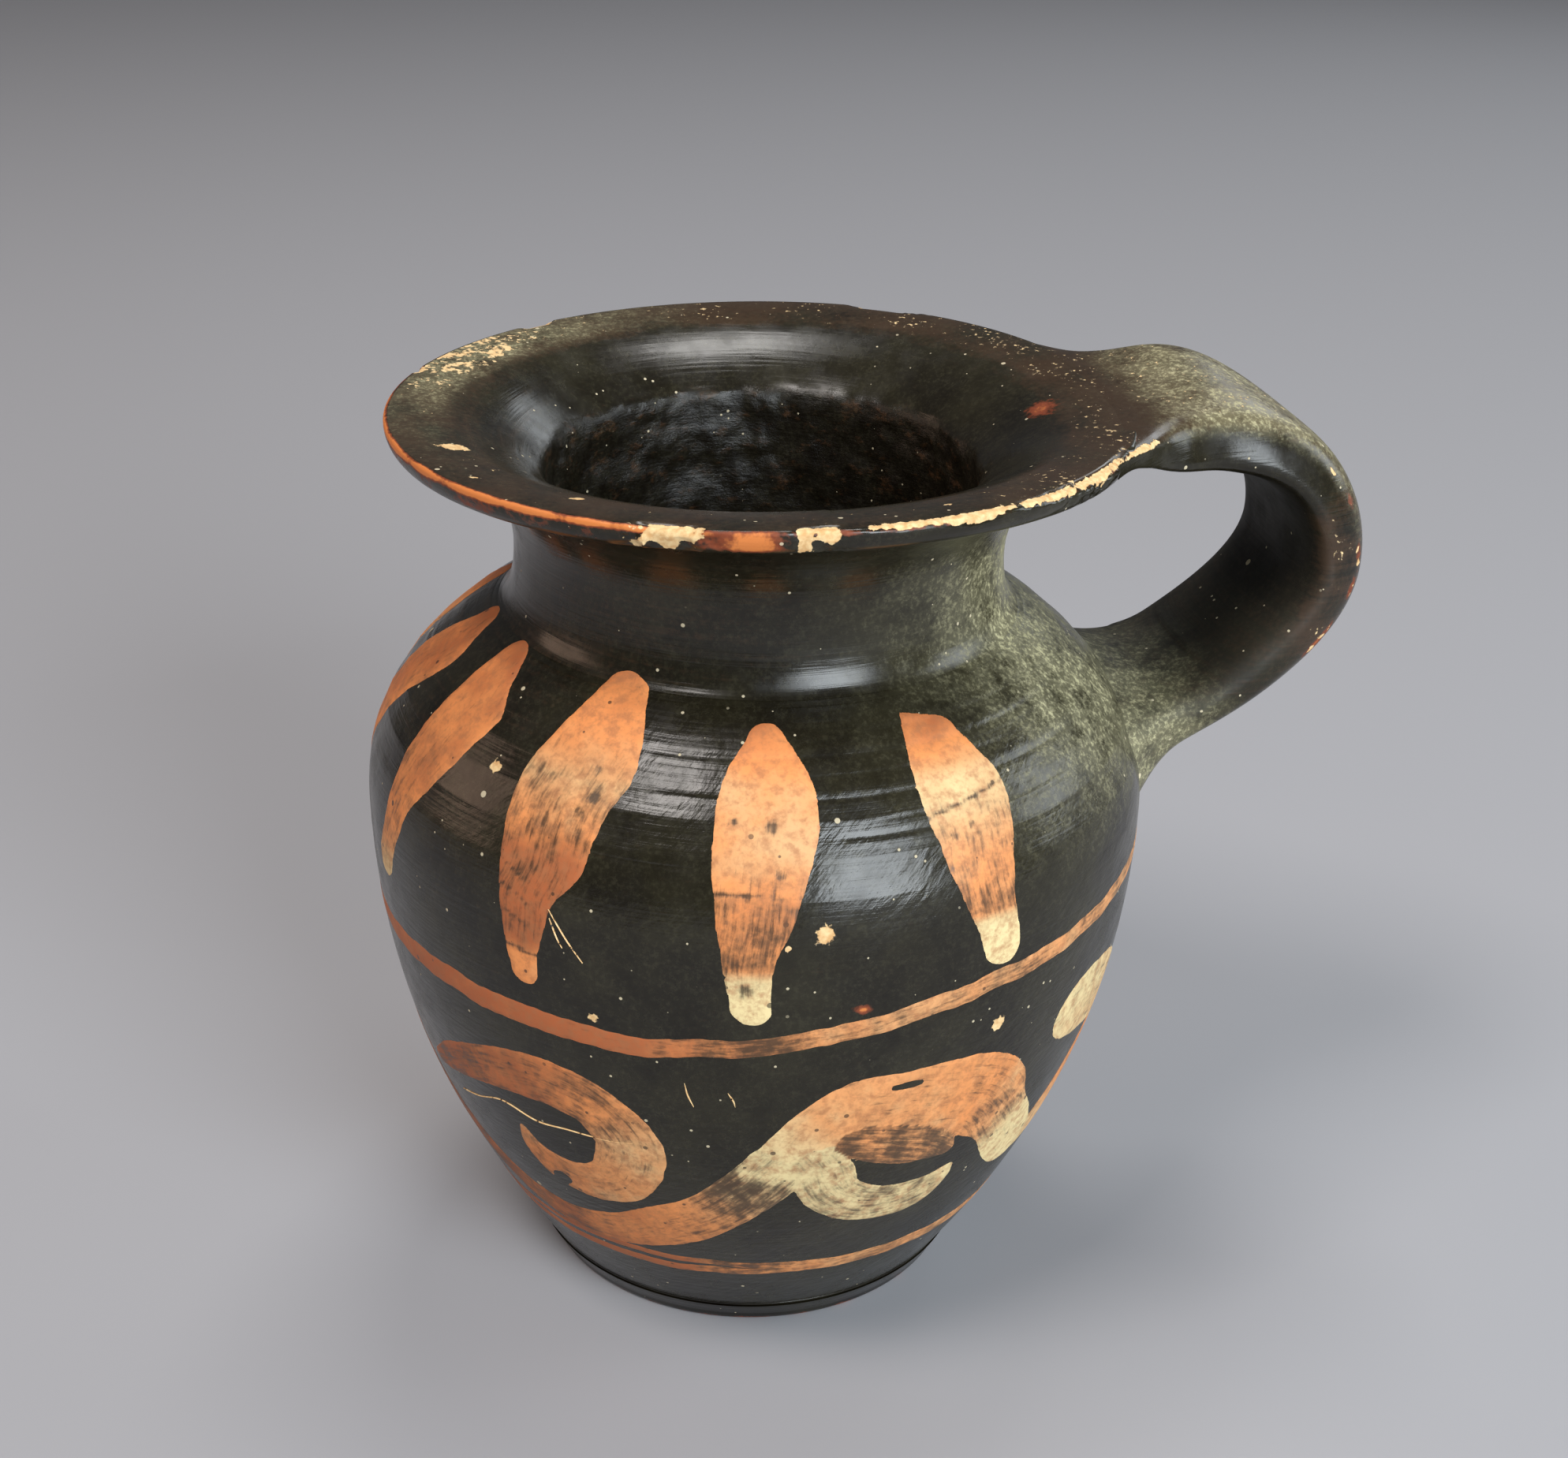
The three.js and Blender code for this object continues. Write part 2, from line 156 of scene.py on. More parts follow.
def shader_node(tree, kind, inputs=None, **settings):
    """One shader node, with its settings and with values or other nodes' outputs on its inputs."""
    node = tree.nodes.new(kind)
    for key, value in settings.items():
        setattr(node, key, value)
    for key, value in (inputs or {}).items():
        if isinstance(value, bpy.types.NodeSocket):
            tree.links.new(value, node.inputs[key])
        else:
            node.inputs[key].default_value = value
    return node


def new_finish(name):
    """An empty material with its shader, and each place on the pot in millimetres."""
    finish = bpy.data.materials.new(name)
    finish.use_nodes = True
    tree = finish.node_tree
    shader = tree.nodes["Principled BSDF"]
    place = shader_node(tree, "ShaderNodeTexCoord").outputs["Object"]
    in_mm = shader_node(tree, "ShaderNodeMapping", {"Vector": place, "Scale": (1 / MM,) * 3})
    return finish, tree, shader, in_mm.outputs["Vector"]


def stretched(tree, vector, scale):
    """Places drawn out along the axes with a small scale."""
    return shader_node(tree, "ShaderNodeMapping", {"Vector": vector, "Scale": scale}).outputs["Vector"]


def cloudy(tree, vector, scale, detail=4, roughness=0.55):
    """Smooth noise between 0 and 1."""
    settings = {"Vector": vector, "Scale": scale, "Detail": detail, "Roughness": roughness}
    return shader_node(tree, "ShaderNodeTexNoise", settings).outputs["Fac"]


def between(tree, value, low, high, start=0.0, end=1.0):
    """Smooth step of a value: start at low, end at high."""
    settings = {"Value": value, "From Min": low, "From Max": high, "To Min": start, "To Max": end}
    node = shader_node(tree, "ShaderNodeMapRange", settings, interpolation_type="SMOOTHSTEP")
    return node.outputs["Result"]


def reckon(tree, operation, first, second):
    """One sum on two values of a finish."""
    node = shader_node(tree, "ShaderNodeMath", operation=operation)
    for socket, value in zip(node.inputs, (first, second)):
        if isinstance(value, bpy.types.NodeSocket):
            tree.links.new(value, socket)
        else:
            socket.default_value = value
    return node.outputs["Value"]


def over(tree, share, under, on_top):
    """One colour laid over another by a share from 0 to 1."""
    inputs = {"Fac": share, "Color1": under, "Color2": on_top}
    return shader_node(tree, "ShaderNodeMixRGB", inputs).outputs["Color"]


def marked(tree, name):
    """What a piece is marked with, as a value of its finish."""
    return shader_node(tree, "ShaderNodeAttribute", attribute_name=name).outputs["Fac"]


def specks(tree, vector, scale, share, size):
    """Small round spots in a given share of the cells of a cell pattern."""
    cells = shader_node(tree, "ShaderNodeTexVoronoi", {"Vector": vector, "Scale": scale})
    chance = shader_node(tree, "ShaderNodeSeparateColor", {"Color": cells.outputs["Color"]})
    chosen = between(tree, chance.outputs["Red"], share, share * 0.8)
    spot_size = reckon(tree, "MULTIPLY", chance.outputs["Green"], size)
    near = reckon(tree, "SUBTRACT", spot_size, cells.outputs["Distance"])
    return reckon(tree, "MULTIPLY", chosen, between(tree, near, 0.0, size * 0.15))


GLOSS_BLACK = (0.0062, 0.0046, 0.0026, 1)
GLOSS_OLIVE = (0.0155, 0.0130, 0.0064, 1)
GLOSS_BROWN = (0.042, 0.023, 0.012, 1)
RUBBED_RED = (0.20, 0.038, 0.010, 1)
RUBBED_ORANGE = (0.66, 0.20, 0.045, 1)
BARE_TAN = (0.62, 0.35, 0.14, 1)
BARE_BUFF = (0.82, 0.60, 0.31, 1)
# Dust olive, pale enough to serve also as a painted sheen of light on the shoulder.
DUST_AND_SHEEN_OLIVE = (0.54, 0.50, 0.29, 1)
SPECK_CREAM = (0.72, 0.62, 0.42, 1)
THROAT_BROWN = (0.0040, 0.0024, 0.0012, 1)
THROAT_CRUST = (0.060, 0.027, 0.011, 1)


def black_gloss():
    """Iron-rich slip fired to an olive-black gloss: mottled, lined by the wheel, specked, and changed where
    a piece is marked as thin, rubbed, bare, dusted with a painted sheen, leathery, dull or rough inside."""
    finish, tree, shader, in_mm = new_finish("black_gloss")
    fine = cloudy(tree, in_mm, 1.7, 5)
    broad = cloudy(tree, in_mm, 0.09, 5, 0.6)
    wheel = cloudy(tree, stretched(tree, in_mm, (0.06, 0.06, 2.6)), 1.0, 3)
    colour = over(tree, between(tree, broad, 0.36, 0.66), GLOSS_BLACK, GLOSS_OLIVE)
    thin = reckon(tree, "ADD", reckon(tree, "MULTIPLY", wheel, 0.5), reckon(tree, "MULTIPLY", fine, 0.5))
    thin = reckon(tree, "ADD", thin, reckon(tree, "MULTIPLY", marked(tree, "thinned"), 0.45))
    colour = over(tree, between(tree, thin, 0.56, 0.98), colour, GLOSS_BROWN)

    rough_inside = marked(tree, "rough_inside")
    streaky = cloudy(tree, stretched(tree, in_mm, (0.40, 0.40, 0.70)), 1.0, 6, 0.75)
    crust = between(tree, streaky, 0.53, 0.72)
    colour = over(tree, rough_inside, colour, over(tree, crust, THROAT_BROWN, THROAT_CRUST))

    rubbed_edge = reckon(tree, "ADD", marked(tree, "rubbed"), reckon(tree, "MULTIPLY", fine, 0.6))
    rubbed = between(tree, rubbed_edge, 0.62, 0.86)
    bright = between(tree, rubbed_edge, 0.86, 1.12)
    colour = over(tree, rubbed, colour, over(tree, bright, RUBBED_RED, RUBBED_ORANGE))

    # Dust pale enough to serve also as a painted sheen of light on the shoulder beside the handle.
    veil = between(tree, cloudy(tree, in_mm, 0.30, 7, 0.72), 0.22, 0.68)
    grains = between(tree, cloudy(tree, in_mm, 2.0, 4, 0.75), 0.45, 0.68)
    dust_and_sheen = reckon(tree, "ADD", reckon(tree, "MULTIPLY", grains, 0.95), 0.40)
    dust_and_sheen = reckon(tree, "MULTIPLY", veil, dust_and_sheen)
    dust_and_sheen = reckon(tree, "MULTIPLY", marked(tree, "dust_and_sheen_mark"), dust_and_sheen)
    colour = over(tree, dust_and_sheen, colour, DUST_AND_SHEEN_OLIVE)

    bare_edge = reckon(tree, "ADD", marked(tree, "bare"), reckon(tree, "MULTIPLY", fine, 0.9))
    bare = between(tree, bare_edge, 0.90, 0.98)
    colour = over(tree, bare, colour, over(tree, between(tree, fine, 0.3, 0.7), BARE_TAN, BARE_BUFF))

    small_specks = specks(tree, in_mm, 1.3, 0.10, 0.24)
    white = reckon(tree, "MAXIMUM", specks(tree, in_mm, 0.45, 0.14, 0.17), small_specks)
    colour = over(tree, reckon(tree, "MULTIPLY", white, 0.7), colour, SPECK_CREAM)

    matt = reckon(tree, "MAXIMUM", reckon(tree, "MULTIPLY", rubbed, 0.6),
                  reckon(tree, "MULTIPLY", rough_inside, 0.2))
    for worn in (dust_and_sheen, bare, white, marked(tree, "dull")):
        matt = reckon(tree, "MAXIMUM", matt, worn)
    sheen = between(tree, cloudy(tree, in_mm, 0.35, 4), 0.3, 0.75, 0.17, 0.30)
    tree.links.new(colour, shader.inputs["Base Color"])
    rough = reckon(tree, "ADD", sheen, reckon(tree, "MULTIPLY", matt, 0.55))
    tree.links.new(rough, shader.inputs["Roughness"])
    shader.inputs["Specular IOR Level"].default_value = 0.40

    slant = shader_node(tree, "ShaderNodeMapping", {"Vector": in_mm, "Rotation": (0.0, 0.7, 0.3)})
    wrinkled = stretched(tree, slant.outputs["Vector"], (0.35, 0.35, 1.3))
    ripple = cloudy(tree, wrinkled, 1.0, 3, 0.6)
    ripple = reckon(tree, "MULTIPLY", ripple, marked(tree, "leathery"))
    ripple = reckon(tree, "MULTIPLY", ripple, 1.3)
    relief = reckon(tree, "ADD", reckon(tree, "MULTIPLY", wheel, 0.8), ripple)
    relief = reckon(tree, "ADD", relief, reckon(tree, "MULTIPLY", fine, 0.15))
    lumps = reckon(tree, "MULTIPLY", rough_inside, streaky)
    relief = reckon(tree, "ADD", relief, reckon(tree, "MULTIPLY", lumps, 4.0))
    relief = reckon(tree, "SUBTRACT", relief, reckon(tree, "MULTIPLY", bare, 1.2))
    relief = reckon(tree, "ADD", relief, reckon(tree, "MULTIPLY", white, 0.5))
    bump = shader_node(tree, "ShaderNodeBump", {"Height": relief, "Strength": 0.5, "Distance": 0.10 * MM})
    tree.links.new(bump.outputs["Normal"], shader.inputs["Normal"])
    return finish


gloss = black_gloss()

foot_outline = np.vstack([
    straight((0, 0), (foot_radius - FOOT_EDGE, 0)),
    bent((foot_radius - FOOT_EDGE, 0), (foot_radius - FOOT_EDGE / 3, 0), (foot_radius, FOOT_EDGE / 3),
         (foot_radius + FOOT_EDGE * 0.2, FOOT_EDGE), 0.1),
    bent((foot_radius + FOOT_EDGE * 0.2, FOOT_EDGE), (foot_radius + 0.3, 1.2), (foot_top_radius - 0.3, 2.0),
         (foot_top_radius, foot_high[2]), 0.15),
    straight((foot_top_radius, foot_high[2]), (0, foot_high[2])),
    [(0, foot_high[2])],
])
foot = thrown("foot", foot_outline, around)
foot.data.materials.append(gloss)
angle, radius, height, points = places(foot)
under = step_up(-height, -0.25, -0.02) * step_up(foot_radius - radius, -0.3, FOOT_BARE_EDGE)
mark(foot, "bare", under * (0.78 + 0.4 * clouds(points, 3.0, 2)))
mark(foot, "rubbed", 0.42 * step_up(-height, -0.9, -0.2) + 0.3 * clouds(points, 2.5, 3))
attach(foot, "root")
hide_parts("foot")


# Belly: floor, wall and shoulder thrown in one on the wheel, then turned with a blade at the shoulder,
# which left narrow facets, and dipped in black gloss. A ring of slip joins it to the foot.
belly_low, belly_high = size_of("belly")
lip_low, lip_high = size_of("neck_and_lip")
WALL = 3.0
FLOOR = 3.4
NECK_WALL = 2.9
NECK_FLARE = 2.2
NECK_RADIUS = 23.4
BASE_SLOPE = math.radians(58)
SHOULDER_SLOPE = math.radians(32)
SHOULDER_RISE = 18.7
BASE_FULLNESS = 0.26
BELLY_FULLNESS = 0.47
SHOULDER_FULLNESS = 0.4
SHOULDER_REACH = 0.8
TURNED_RIDGES = (57.4, 60.4, 63.1, 65.3, 67.7)
RIDGE_SHARPNESS = 1.1
base_z = belly_low[2]
joint_z = belly_high[2]
belly_radius = belly_high[1]
widest_z = joint_z - SHOULDER_RISE
joint_radius = NECK_RADIUS + NECK_FLARE
neck_bore = NECK_RADIUS - NECK_WALL


def wall_line(base_radius, bottom, widest, top_radius, top, lower_step, upper_step):
    """Side view of the wall from its base out to the widest place and in again to its top."""
    base_run = (widest_z - bottom) * BASE_FULLNESS
    top_run = (widest - top_radius) * SHOULDER_REACH
    base_lean = (base_radius + base_run * math.cos(BASE_SLOPE), bottom + base_run * math.sin(BASE_SLOPE))
    top_lean = (top_radius + top_run * math.cos(SHOULDER_SLOPE), top - top_run * math.sin(SHOULDER_SLOPE))
    middle = (widest, widest_z)
    return np.vstack([
        bent((base_radius, bottom), base_lean, (widest, widest_z - (widest_z - bottom) * BELLY_FULLNESS),
             middle, lower_step),
        bent(middle, (widest, widest_z + (top - widest_z) * SHOULDER_FULLNESS), top_lean,
             (top_radius, top), upper_step),
        [(top_radius, top)],
    ])


smooth_wall = wall_line(foot_top_radius, base_z, belly_radius, joint_radius, joint_z, 0.36, 0.2)
ridge_radius = np.interp(TURNED_RIDGES, smooth_wall[:, 1], smooth_wall[:, 0])
faceted = np.interp(smooth_wall[:, 1], TURNED_RIDGES, ridge_radius)
in_facets = (smooth_wall[:, 1] > TURNED_RIDGES[0]) & (smooth_wall[:, 1] < TURNED_RIDGES[-1])
outside = smooth_wall.copy()
outside[in_facets, 0] += RIDGE_SHARPNESS * (faceted - smooth_wall[:, 0])[in_facets]


# Lines that a grain under the blade cut in the shoulder: height, first angle, last angle.
BLADE_LINES = ((61.9, -2, 46), (63.0, 4, 40), (64.6, -30, 52), (66.0, -6, 36), (67.2, -34, 58),
               (68.5, 2, 62), (59.6, -40, -16), (65.4, -128, -60), (66.8, 120, 190), (62.6, 150, 230))
BLADE_LINE_DEPTH = 0.09


def hill(value, middle, spread):
    """Smooth hill: 1 in the middle, dying away to both sides."""
    return np.exp(-(((value - middle) / spread) ** 2))


def uneven(angle, height):
    """How far the hand-thrown and turned wall strays from a true circle, in millimetres."""
    turn = np.radians(angle)
    fade = step_up(height, base_z, base_z + 8) * step_up(joint_z - height, 0, 6)
    stray = fade * (0.10 * np.sin(2 * turn + 0.6) + 0.05 * np.sin(3 * turn + 0.1 * height))
    for line_z, first, last in BLADE_LINES:
        half = (last - first) / 2
        off = np.abs((angle - first - half + 180) % 360 - 180)
        stray = stray - BLADE_LINE_DEPTH * hill(height, line_z, 0.2) * step_up(half - off, 0, 8)
    return stray


inside = wall_line(foot_top_radius - WALL, base_z + FLOOR, belly_radius - WALL, neck_bore, joint_z,
                   1.0, 0.7)
belly_outline = np.vstack([
    straight((0, base_z), (foot_top_radius, base_z), 2.0),
    outside,
    straight((joint_radius, joint_z), (neck_bore, joint_z))[1:],
    inside[::-1],
    [(0, base_z + FLOOR)],
])


def beside_handle(angle):
    """Dust and a painted sheen below the handle's near side: 1 in the middle, dying away to both sides."""
    return hill(angle, 68, 29)


def as_belly(angle, radius, height):
    """The turned outline, off a true circle as far as the wall strays."""
    return around(angle, radius + uneven(angle, height), height)


belly = thrown("belly", belly_outline, as_belly)
belly.data.materials.append(gloss)
angle, radius, height, points = places(belly)
outer_radius = np.interp(height, outside[:, 1], outside[:, 0])
within = step_up(outer_radius - radius, 0.8, 1.6)
dust_and_sheen_height = step_up(height, 53, 66)
mark(belly, "rough_inside", within)
mark(belly, "leathery", 1 - within)
# Dusted, with a painted sheen of light, beside the handle and by its root.
by_root = 0.5 * hill(angle, 84, 15) * step_up(height, 46, 54)
dusted_and_sheened = np.maximum(beside_handle(angle) * dust_and_sheen_height, by_root)
mark(belly, "dust_and_sheen_mark", 0.03 + dusted_and_sheened * (1.1 + 0.5 * clouds(points, 7.0, 4)))
# The gloss is browner towards the left and up the shoulder.
mark(belly, "thinned", 0.25 * step_up(-angle, 10, 90) * step_up(height, 40, 62))

# Small spalls in the gloss: angle, height and size.
SPALLS = ((-2.1, 54.3, 0.9), (25.0, 41.3, 0.7), (-33.2, 44.3, 0.45), (-54.9, 63.6, 0.6), (-7.0, 53.2, 0.3))
bare = np.zeros(len(points))
for spall_angle, spall_height, spall_size in SPALLS:
    spall_radius = np.interp(spall_height, outside[:, 1], outside[:, 0])
    away = np.linalg.norm(points - around(spall_angle, spall_radius, spall_height), axis=1)
    bare = np.maximum(bare, np.clip(1.0 - 0.5 * away / spall_size, 0, 1))
mark(belly, "bare", bare)
RUBBED_SPOT = (3.3, 46.6)
off = points - around(RUBBED_SPOT[0], belly_radius, RUBBED_SPOT[1])
away = np.linalg.norm(off / (1.5, 1, 0.8), axis=1)
mark(belly, "rubbed", np.clip(1.0 - 0.9 * away, 0, 1))
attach(belly, "root")
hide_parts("belly")

slip_inset = foot_top_radius - foot_slip_high[1]
foot_slip_outline = np.vstack([
    straight((0, foot_high[2]), (foot_top_radius - slip_inset, foot_high[2]), 2.0),
    bent((foot_top_radius - slip_inset, foot_high[2]), (foot_top_radius, foot_high[2] + 0.1),
         (foot_top_radius, base_z - 0.1), (foot_top_radius - slip_inset * 0.5, base_z), 0.1),
    straight((foot_top_radius - slip_inset * 0.5, base_z), (0, base_z), 2.0),
    [(0, base_z)],
])
foot_slip = thrown("foot_slip", foot_slip_outline, around)
foot_slip.data.materials.append(gloss)
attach(foot_slip, "root")
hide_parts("foot_slip")


# Neck and lip: thrown as a second ring and set on the shoulder with slip, which left a fine line round its
# foot. The lip is wide and nearly flat; its edge is rubbed to red clay and chipped down to the buff.
NECK_WAIST_RISE = 5.5
LIP_EDGE = 2.2
LIP_UNDERCUT = 0.9
LIP_ROUND = 0.45
LIP_FLAT = 6.2
LIP_FALL = 0.6
FLARE_FALL = 4.4
FLARE_STEP = 0.8
THROAT_FALL = 9.0
LIP_TILT = 0.02
NECK_FOOT_STEP = 0.58
LIP_PRESSED = 1.4
PRESSED_AT = 75
PRESSED_SPREAD = 45
CAMERA_TURN = 11.7
neck_z = lip_low[2]
lip_radius = lip_high[1]
lip_z = lip_high[2]
waist_z = neck_z + NECK_WAIST_RISE
lip_low_z = lip_z - LIP_EDGE
under_radius = lip_radius - LIP_UNDERCUT
flat_radius = lip_radius - LIP_FLAT
flat_z = lip_z - LIP_FALL
flare_z = flat_z - FLARE_FALL
throat_z = lip_z - THROAT_FALL
foot_of_neck = joint_radius - NECK_FOOT_STEP
neck_side = np.vstack([
    bent((foot_of_neck, neck_z), (foot_of_neck - 1.1, neck_z + 0.9), (NECK_RADIUS, neck_z + 2.8),
         (NECK_RADIUS, waist_z), 0.25),
    bent((NECK_RADIUS, waist_z), (NECK_RADIUS, waist_z + 6.6), (under_radius - 7, lip_low_z - 1.6),
         (under_radius, lip_low_z), 0.3),
])
lip_edge = np.vstack([
    bent((under_radius, lip_low_z), (lip_radius - 0.45, lip_low_z + 0.2),
         (lip_radius, lip_low_z + 1.0), (lip_radius, lip_z - LIP_ROUND), 0.15),
    bent((lip_radius, lip_z - LIP_ROUND), (lip_radius, lip_z - LIP_ROUND / 3),
         (lip_radius - LIP_ROUND / 3, lip_z), (lip_radius - LIP_ROUND, lip_z), 0.1),
])
lip_face = bent((lip_radius - LIP_ROUND, lip_z), (lip_radius - 2.5, lip_z),
                (flat_radius + 2, flat_z + 0.35), (flat_radius, flat_z), 0.25)
throat = np.vstack([
    bent((flat_radius, flat_z), (flat_radius - 3.2, flat_z - 0.9), (neck_bore + 2.4, flare_z + 1.5),
         (neck_bore + FLARE_STEP, flare_z), 0.25),
    bent((neck_bore + FLARE_STEP, flare_z), (neck_bore - 0.1, flare_z - 0.8), (neck_bore, flare_z - 2),
         (neck_bore, throat_z), 0.3),
    straight((neck_bore, throat_z), (neck_bore, neck_z), 0.5),
])
neck_outline = np.vstack([
    straight((neck_bore, neck_z), (foot_of_neck, neck_z)), neck_side, lip_edge, lip_face, throat,
])


def lip_lift(angle, height):
    """The lip sits a little askew and is pressed down where the handle joins it."""
    share = step_up(height, waist_z, lip_low_z)
    askew = LIP_TILT * lip_radius * np.sin(np.radians(angle + CAMERA_TURN))
    return share * (askew - LIP_PRESSED * hill(angle, PRESSED_AT, PRESSED_SPREAD))


# Chips on the lip's edge: angle, half breadth in degrees, depth, and how far down the edge they reach.
LIP_CHIPS = ((-24.5, 6.5, 0.5, 2.9), (-2.8, 2.6, 0.4, 1.5), (-5.6, 1.6, 0.3, 2.8), (8, 8, 0.15, 0.35),
             (20, 11, 0.2, 0.5), (34, 10, 0.25, 0.7), (46, 14, 0.5, 1.3),
             (146, 6, 0.4, 1.0), (-150, 3.5, 0.35, 1.6), (-118, 2, 0.25, 0.7))


def chipped(angle, radius, height):
    """How deep the chips are at places on the lip's edge, from 0 to 1 and in millimetres."""
    on_edge = step_up(radius, lip_radius - 1.4, lip_radius - 0.4)
    spot = np.stack([angle * 0.6, height, np.zeros(len(angle))], 1)
    ragged = np.zeros(len(angle))
    ragged[on_edge > 0] = clouds(spot[on_edge > 0], 1.6, 6) + 0.6 * clouds(spot[on_edge > 0], 0.6, 7)
    share = np.zeros(len(angle))
    depth = np.zeros(len(angle))
    for chip_angle, breadth, deep, reach in LIP_CHIPS:
        off = np.abs((angle - chip_angle + 180) % 360 - 180) / breadth
        down = (lip_z - height) / (reach * np.clip(1 + 0.8 * ragged, 0.25, 2))
        shape = on_edge * step_up(1 + 0.5 * ragged - np.hypot(off, down), -0.3, 0.7)
        share = np.maximum(share, shape)
        depth = np.maximum(depth, deep * shape)
    return share, depth


def as_neck(angle, radius, height):
    """The turned outline, warped by hand and fire, chipped at the edge and rough in the throat."""
    wobble = 0.12 * np.sin(2 * np.radians(angle) + 1.1) * step_up(height, neck_z + 1, waist_z + 4)
    depth = chipped(angle, radius, height)[1]
    rise = height + lip_lift(angle, height) - 0.6 * depth * step_up(height, lip_z - 1.2, lip_z)
    points = around(angle, radius + wobble - depth, rise)
    in_throat = (radius < neck_bore + 1.5) & (height > neck_z + 0.5)
    lumps = 0.35 * clouds(points[in_throat], 3.4, 13) + 0.12 * clouds(points[in_throat], 1.2, 14)
    lumps *= step_up(flare_z + 0.5 - height[in_throat], 0, 1.5)
    points[in_throat, :2] *= (1 + lumps / neck_bore)[:, None]
    return points


neck = thrown("neck_and_lip", neck_outline, as_neck, ring=True)
neck.data.materials.append(gloss)
turned_radius, turned_height = np.tile(neck_outline, (TURN_STEPS, 1)).T
angle, radius, height, points = places(neck)
chip = chipped(angle, turned_radius, turned_height)[0]
row = np.tile(np.arange(len(neck_outline)), TURN_STEPS)
inner = row >= len(neck_outline) - len(throat)
on_face = row >= len(neck_outline) - len(throat) - len(lip_face)
on_face = on_face * step_up(turned_radius, flat_radius - 2.5, flat_radius + 1)
below_flare = flare_z + 0.2 - turned_height + 0.5 * clouds(points, 3.0, 8)
mark(neck, "rough_inside", inner * step_up(below_flare, 0, 1.4))
corner = np.hypot(turned_radius - lip_radius, turned_height - (lip_z - 0.25))
edge_face = np.hypot(turned_radius - lip_radius, (turned_height - (lip_z - 1.2)) * 0.7)
left = hill(angle, -66, 50)
front = hill(angle, -13, 7)
rubbed = (0.40 + 0.75 * left) * step_up(-corner, -0.75, -0.05)
rubbed = np.maximum(rubbed, (0.62 * front + 0.42 * left) * step_up(-edge_face, -1.3, -0.3))
RED_PATCH = (88, 27.4)
away = np.linalg.norm(points[:, :2] - around(RED_PATCH[0], RED_PATCH[1], 0)[:2], axis=1)
rubbed = np.maximum(rubbed, np.clip(0.64 - 0.17 * away, 0, 1) * (turned_height > lip_low_z))
mark(neck, "rubbed", rubbed * (0.95 + 0.45 * clouds(points, 3.0, 9)))

# Buff shows in the chips and in a few spalls on the lip's face, and cream crust clings to its far left.
LIP_SPALLS = ((-77.0, 29.8, 1.5), (-41.7, 30.2, 0.6), (-60.0, 32.5, 0.35), (18.0, 31.5, 0.3))
bare = chip * 0.75
for spall_angle, spall_radius, spall_size in LIP_SPALLS:
    away = np.linalg.norm((points[:, :2] - around(spall_angle, spall_radius, 0)[:2]) / (1.0, 0.62), axis=1)
    bare = np.maximum(bare, on_face * np.clip(1.0 - 0.5 * away / spall_size, 0, 1))
crust_side = hill(angle, -130, 33) * step_up(turned_radius, flat_radius - 1, flat_radius + 2)
crust = crust_side * (0.65 + 0.25 * clouds(points, 1.5, 10) + 0.15 * clouds(points, 4.0, 11))
flecks = on_face * (0.27 + 0.10 * clouds(points, 6.0, 19) + 0.06 * step_up(angle, 0, 70))
bare = np.maximum(bare, flecks)
mark(neck, "bare", np.maximum(bare, 0.74 * on_face * crust))
on_side = (row < len(neck_side)) * (1 - step_up(turned_height, waist_z + 2, lip_low_z - 1))
# Beside the handle the neck's side is dusted and given a painted sheen; the lip's far left is dusted with
# its crust.
mark(neck, "dust_and_sheen_mark", 0.03 + 1.1 * beside_handle(angle) * on_side + 0.6 * on_face * crust_side)
# The lip's face is browner where its gloss is thin; off the face the gloss is browner towards the left.
mark(neck, "thinned", on_face * (0.8 + 0.5 * clouds(points, 5.0, 15)) + 0.4 * left * (1 - on_face))
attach(neck, "root")
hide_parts("neck_and_lip")

neck_slip_outline = np.vstack([
    straight((neck_bore, joint_z), (joint_radius, joint_z)),
    straight((joint_radius, joint_z), (foot_of_neck, neck_z), 0.2),
    straight((foot_of_neck, neck_z), (neck_bore, neck_z)),
    straight((neck_bore, neck_z), (neck_bore, joint_z), 0.2),
])
neck_slip = thrown("neck_slip", neck_slip_outline, around, ring=True)
neck_slip.data.materials.append(gloss)
# Beside the handle the slip ring is dusted and given a painted sheen as well.
mark(neck_slip, "dust_and_sheen_mark", 0.03 + 1.1 * beside_handle(places(neck_slip)[0]))
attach(neck_slip, "root")
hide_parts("neck_slip")


# Handle: a strap pulled from a lump of clay, pressed on the lip with its fan smoothed over the lip's face,
# bent down with a slight twist and stuck to the shoulder, where the joint was smoothed with a finger.
FAN_HALF = 20.5
FAN_LENGTH = 17.0
FAN_SINK = 0.3
FAN_PROUD = 0.06
FAN_THICKNESS = 3.7
BEAD = 1.2
BEAD_REACH = 16.0
STRAP_HALF = 11.35
STRAP_THICKNESS = 6.6
NEAR_SQUARENESS = 3.3
FAR_SQUARENESS = 2.9
BEVEL = 2.6
FAN_SQUARENESS = 4.9
SEAT_LENGTH = 4.8
THINNING_LENGTH = 12.5
STRAP_TWIST = math.radians(7)
TWIST_LENGTH = 20.0
HUMP = 1.2
ROOT_HALF = 10.75
ROOT_THICKNESS = 5.4
ROOT_LENGTH = 24.0
ROOT_SLOPE = math.radians(39)
ROOT_TAIL = 5.0
ROOT_DEPTH = 1.5
FILLET = 2.6
FILLET_REACH = 5.0
INNER_FILLET = 4.4
INNER_FILLET_REACH = 10.0
EVENING_STROKES = 80
STRAP_STEPS = 240
STRAP_SIDES = 112
SLOPE_ROWS = 20
NECK_FOOT_ROWS = 20
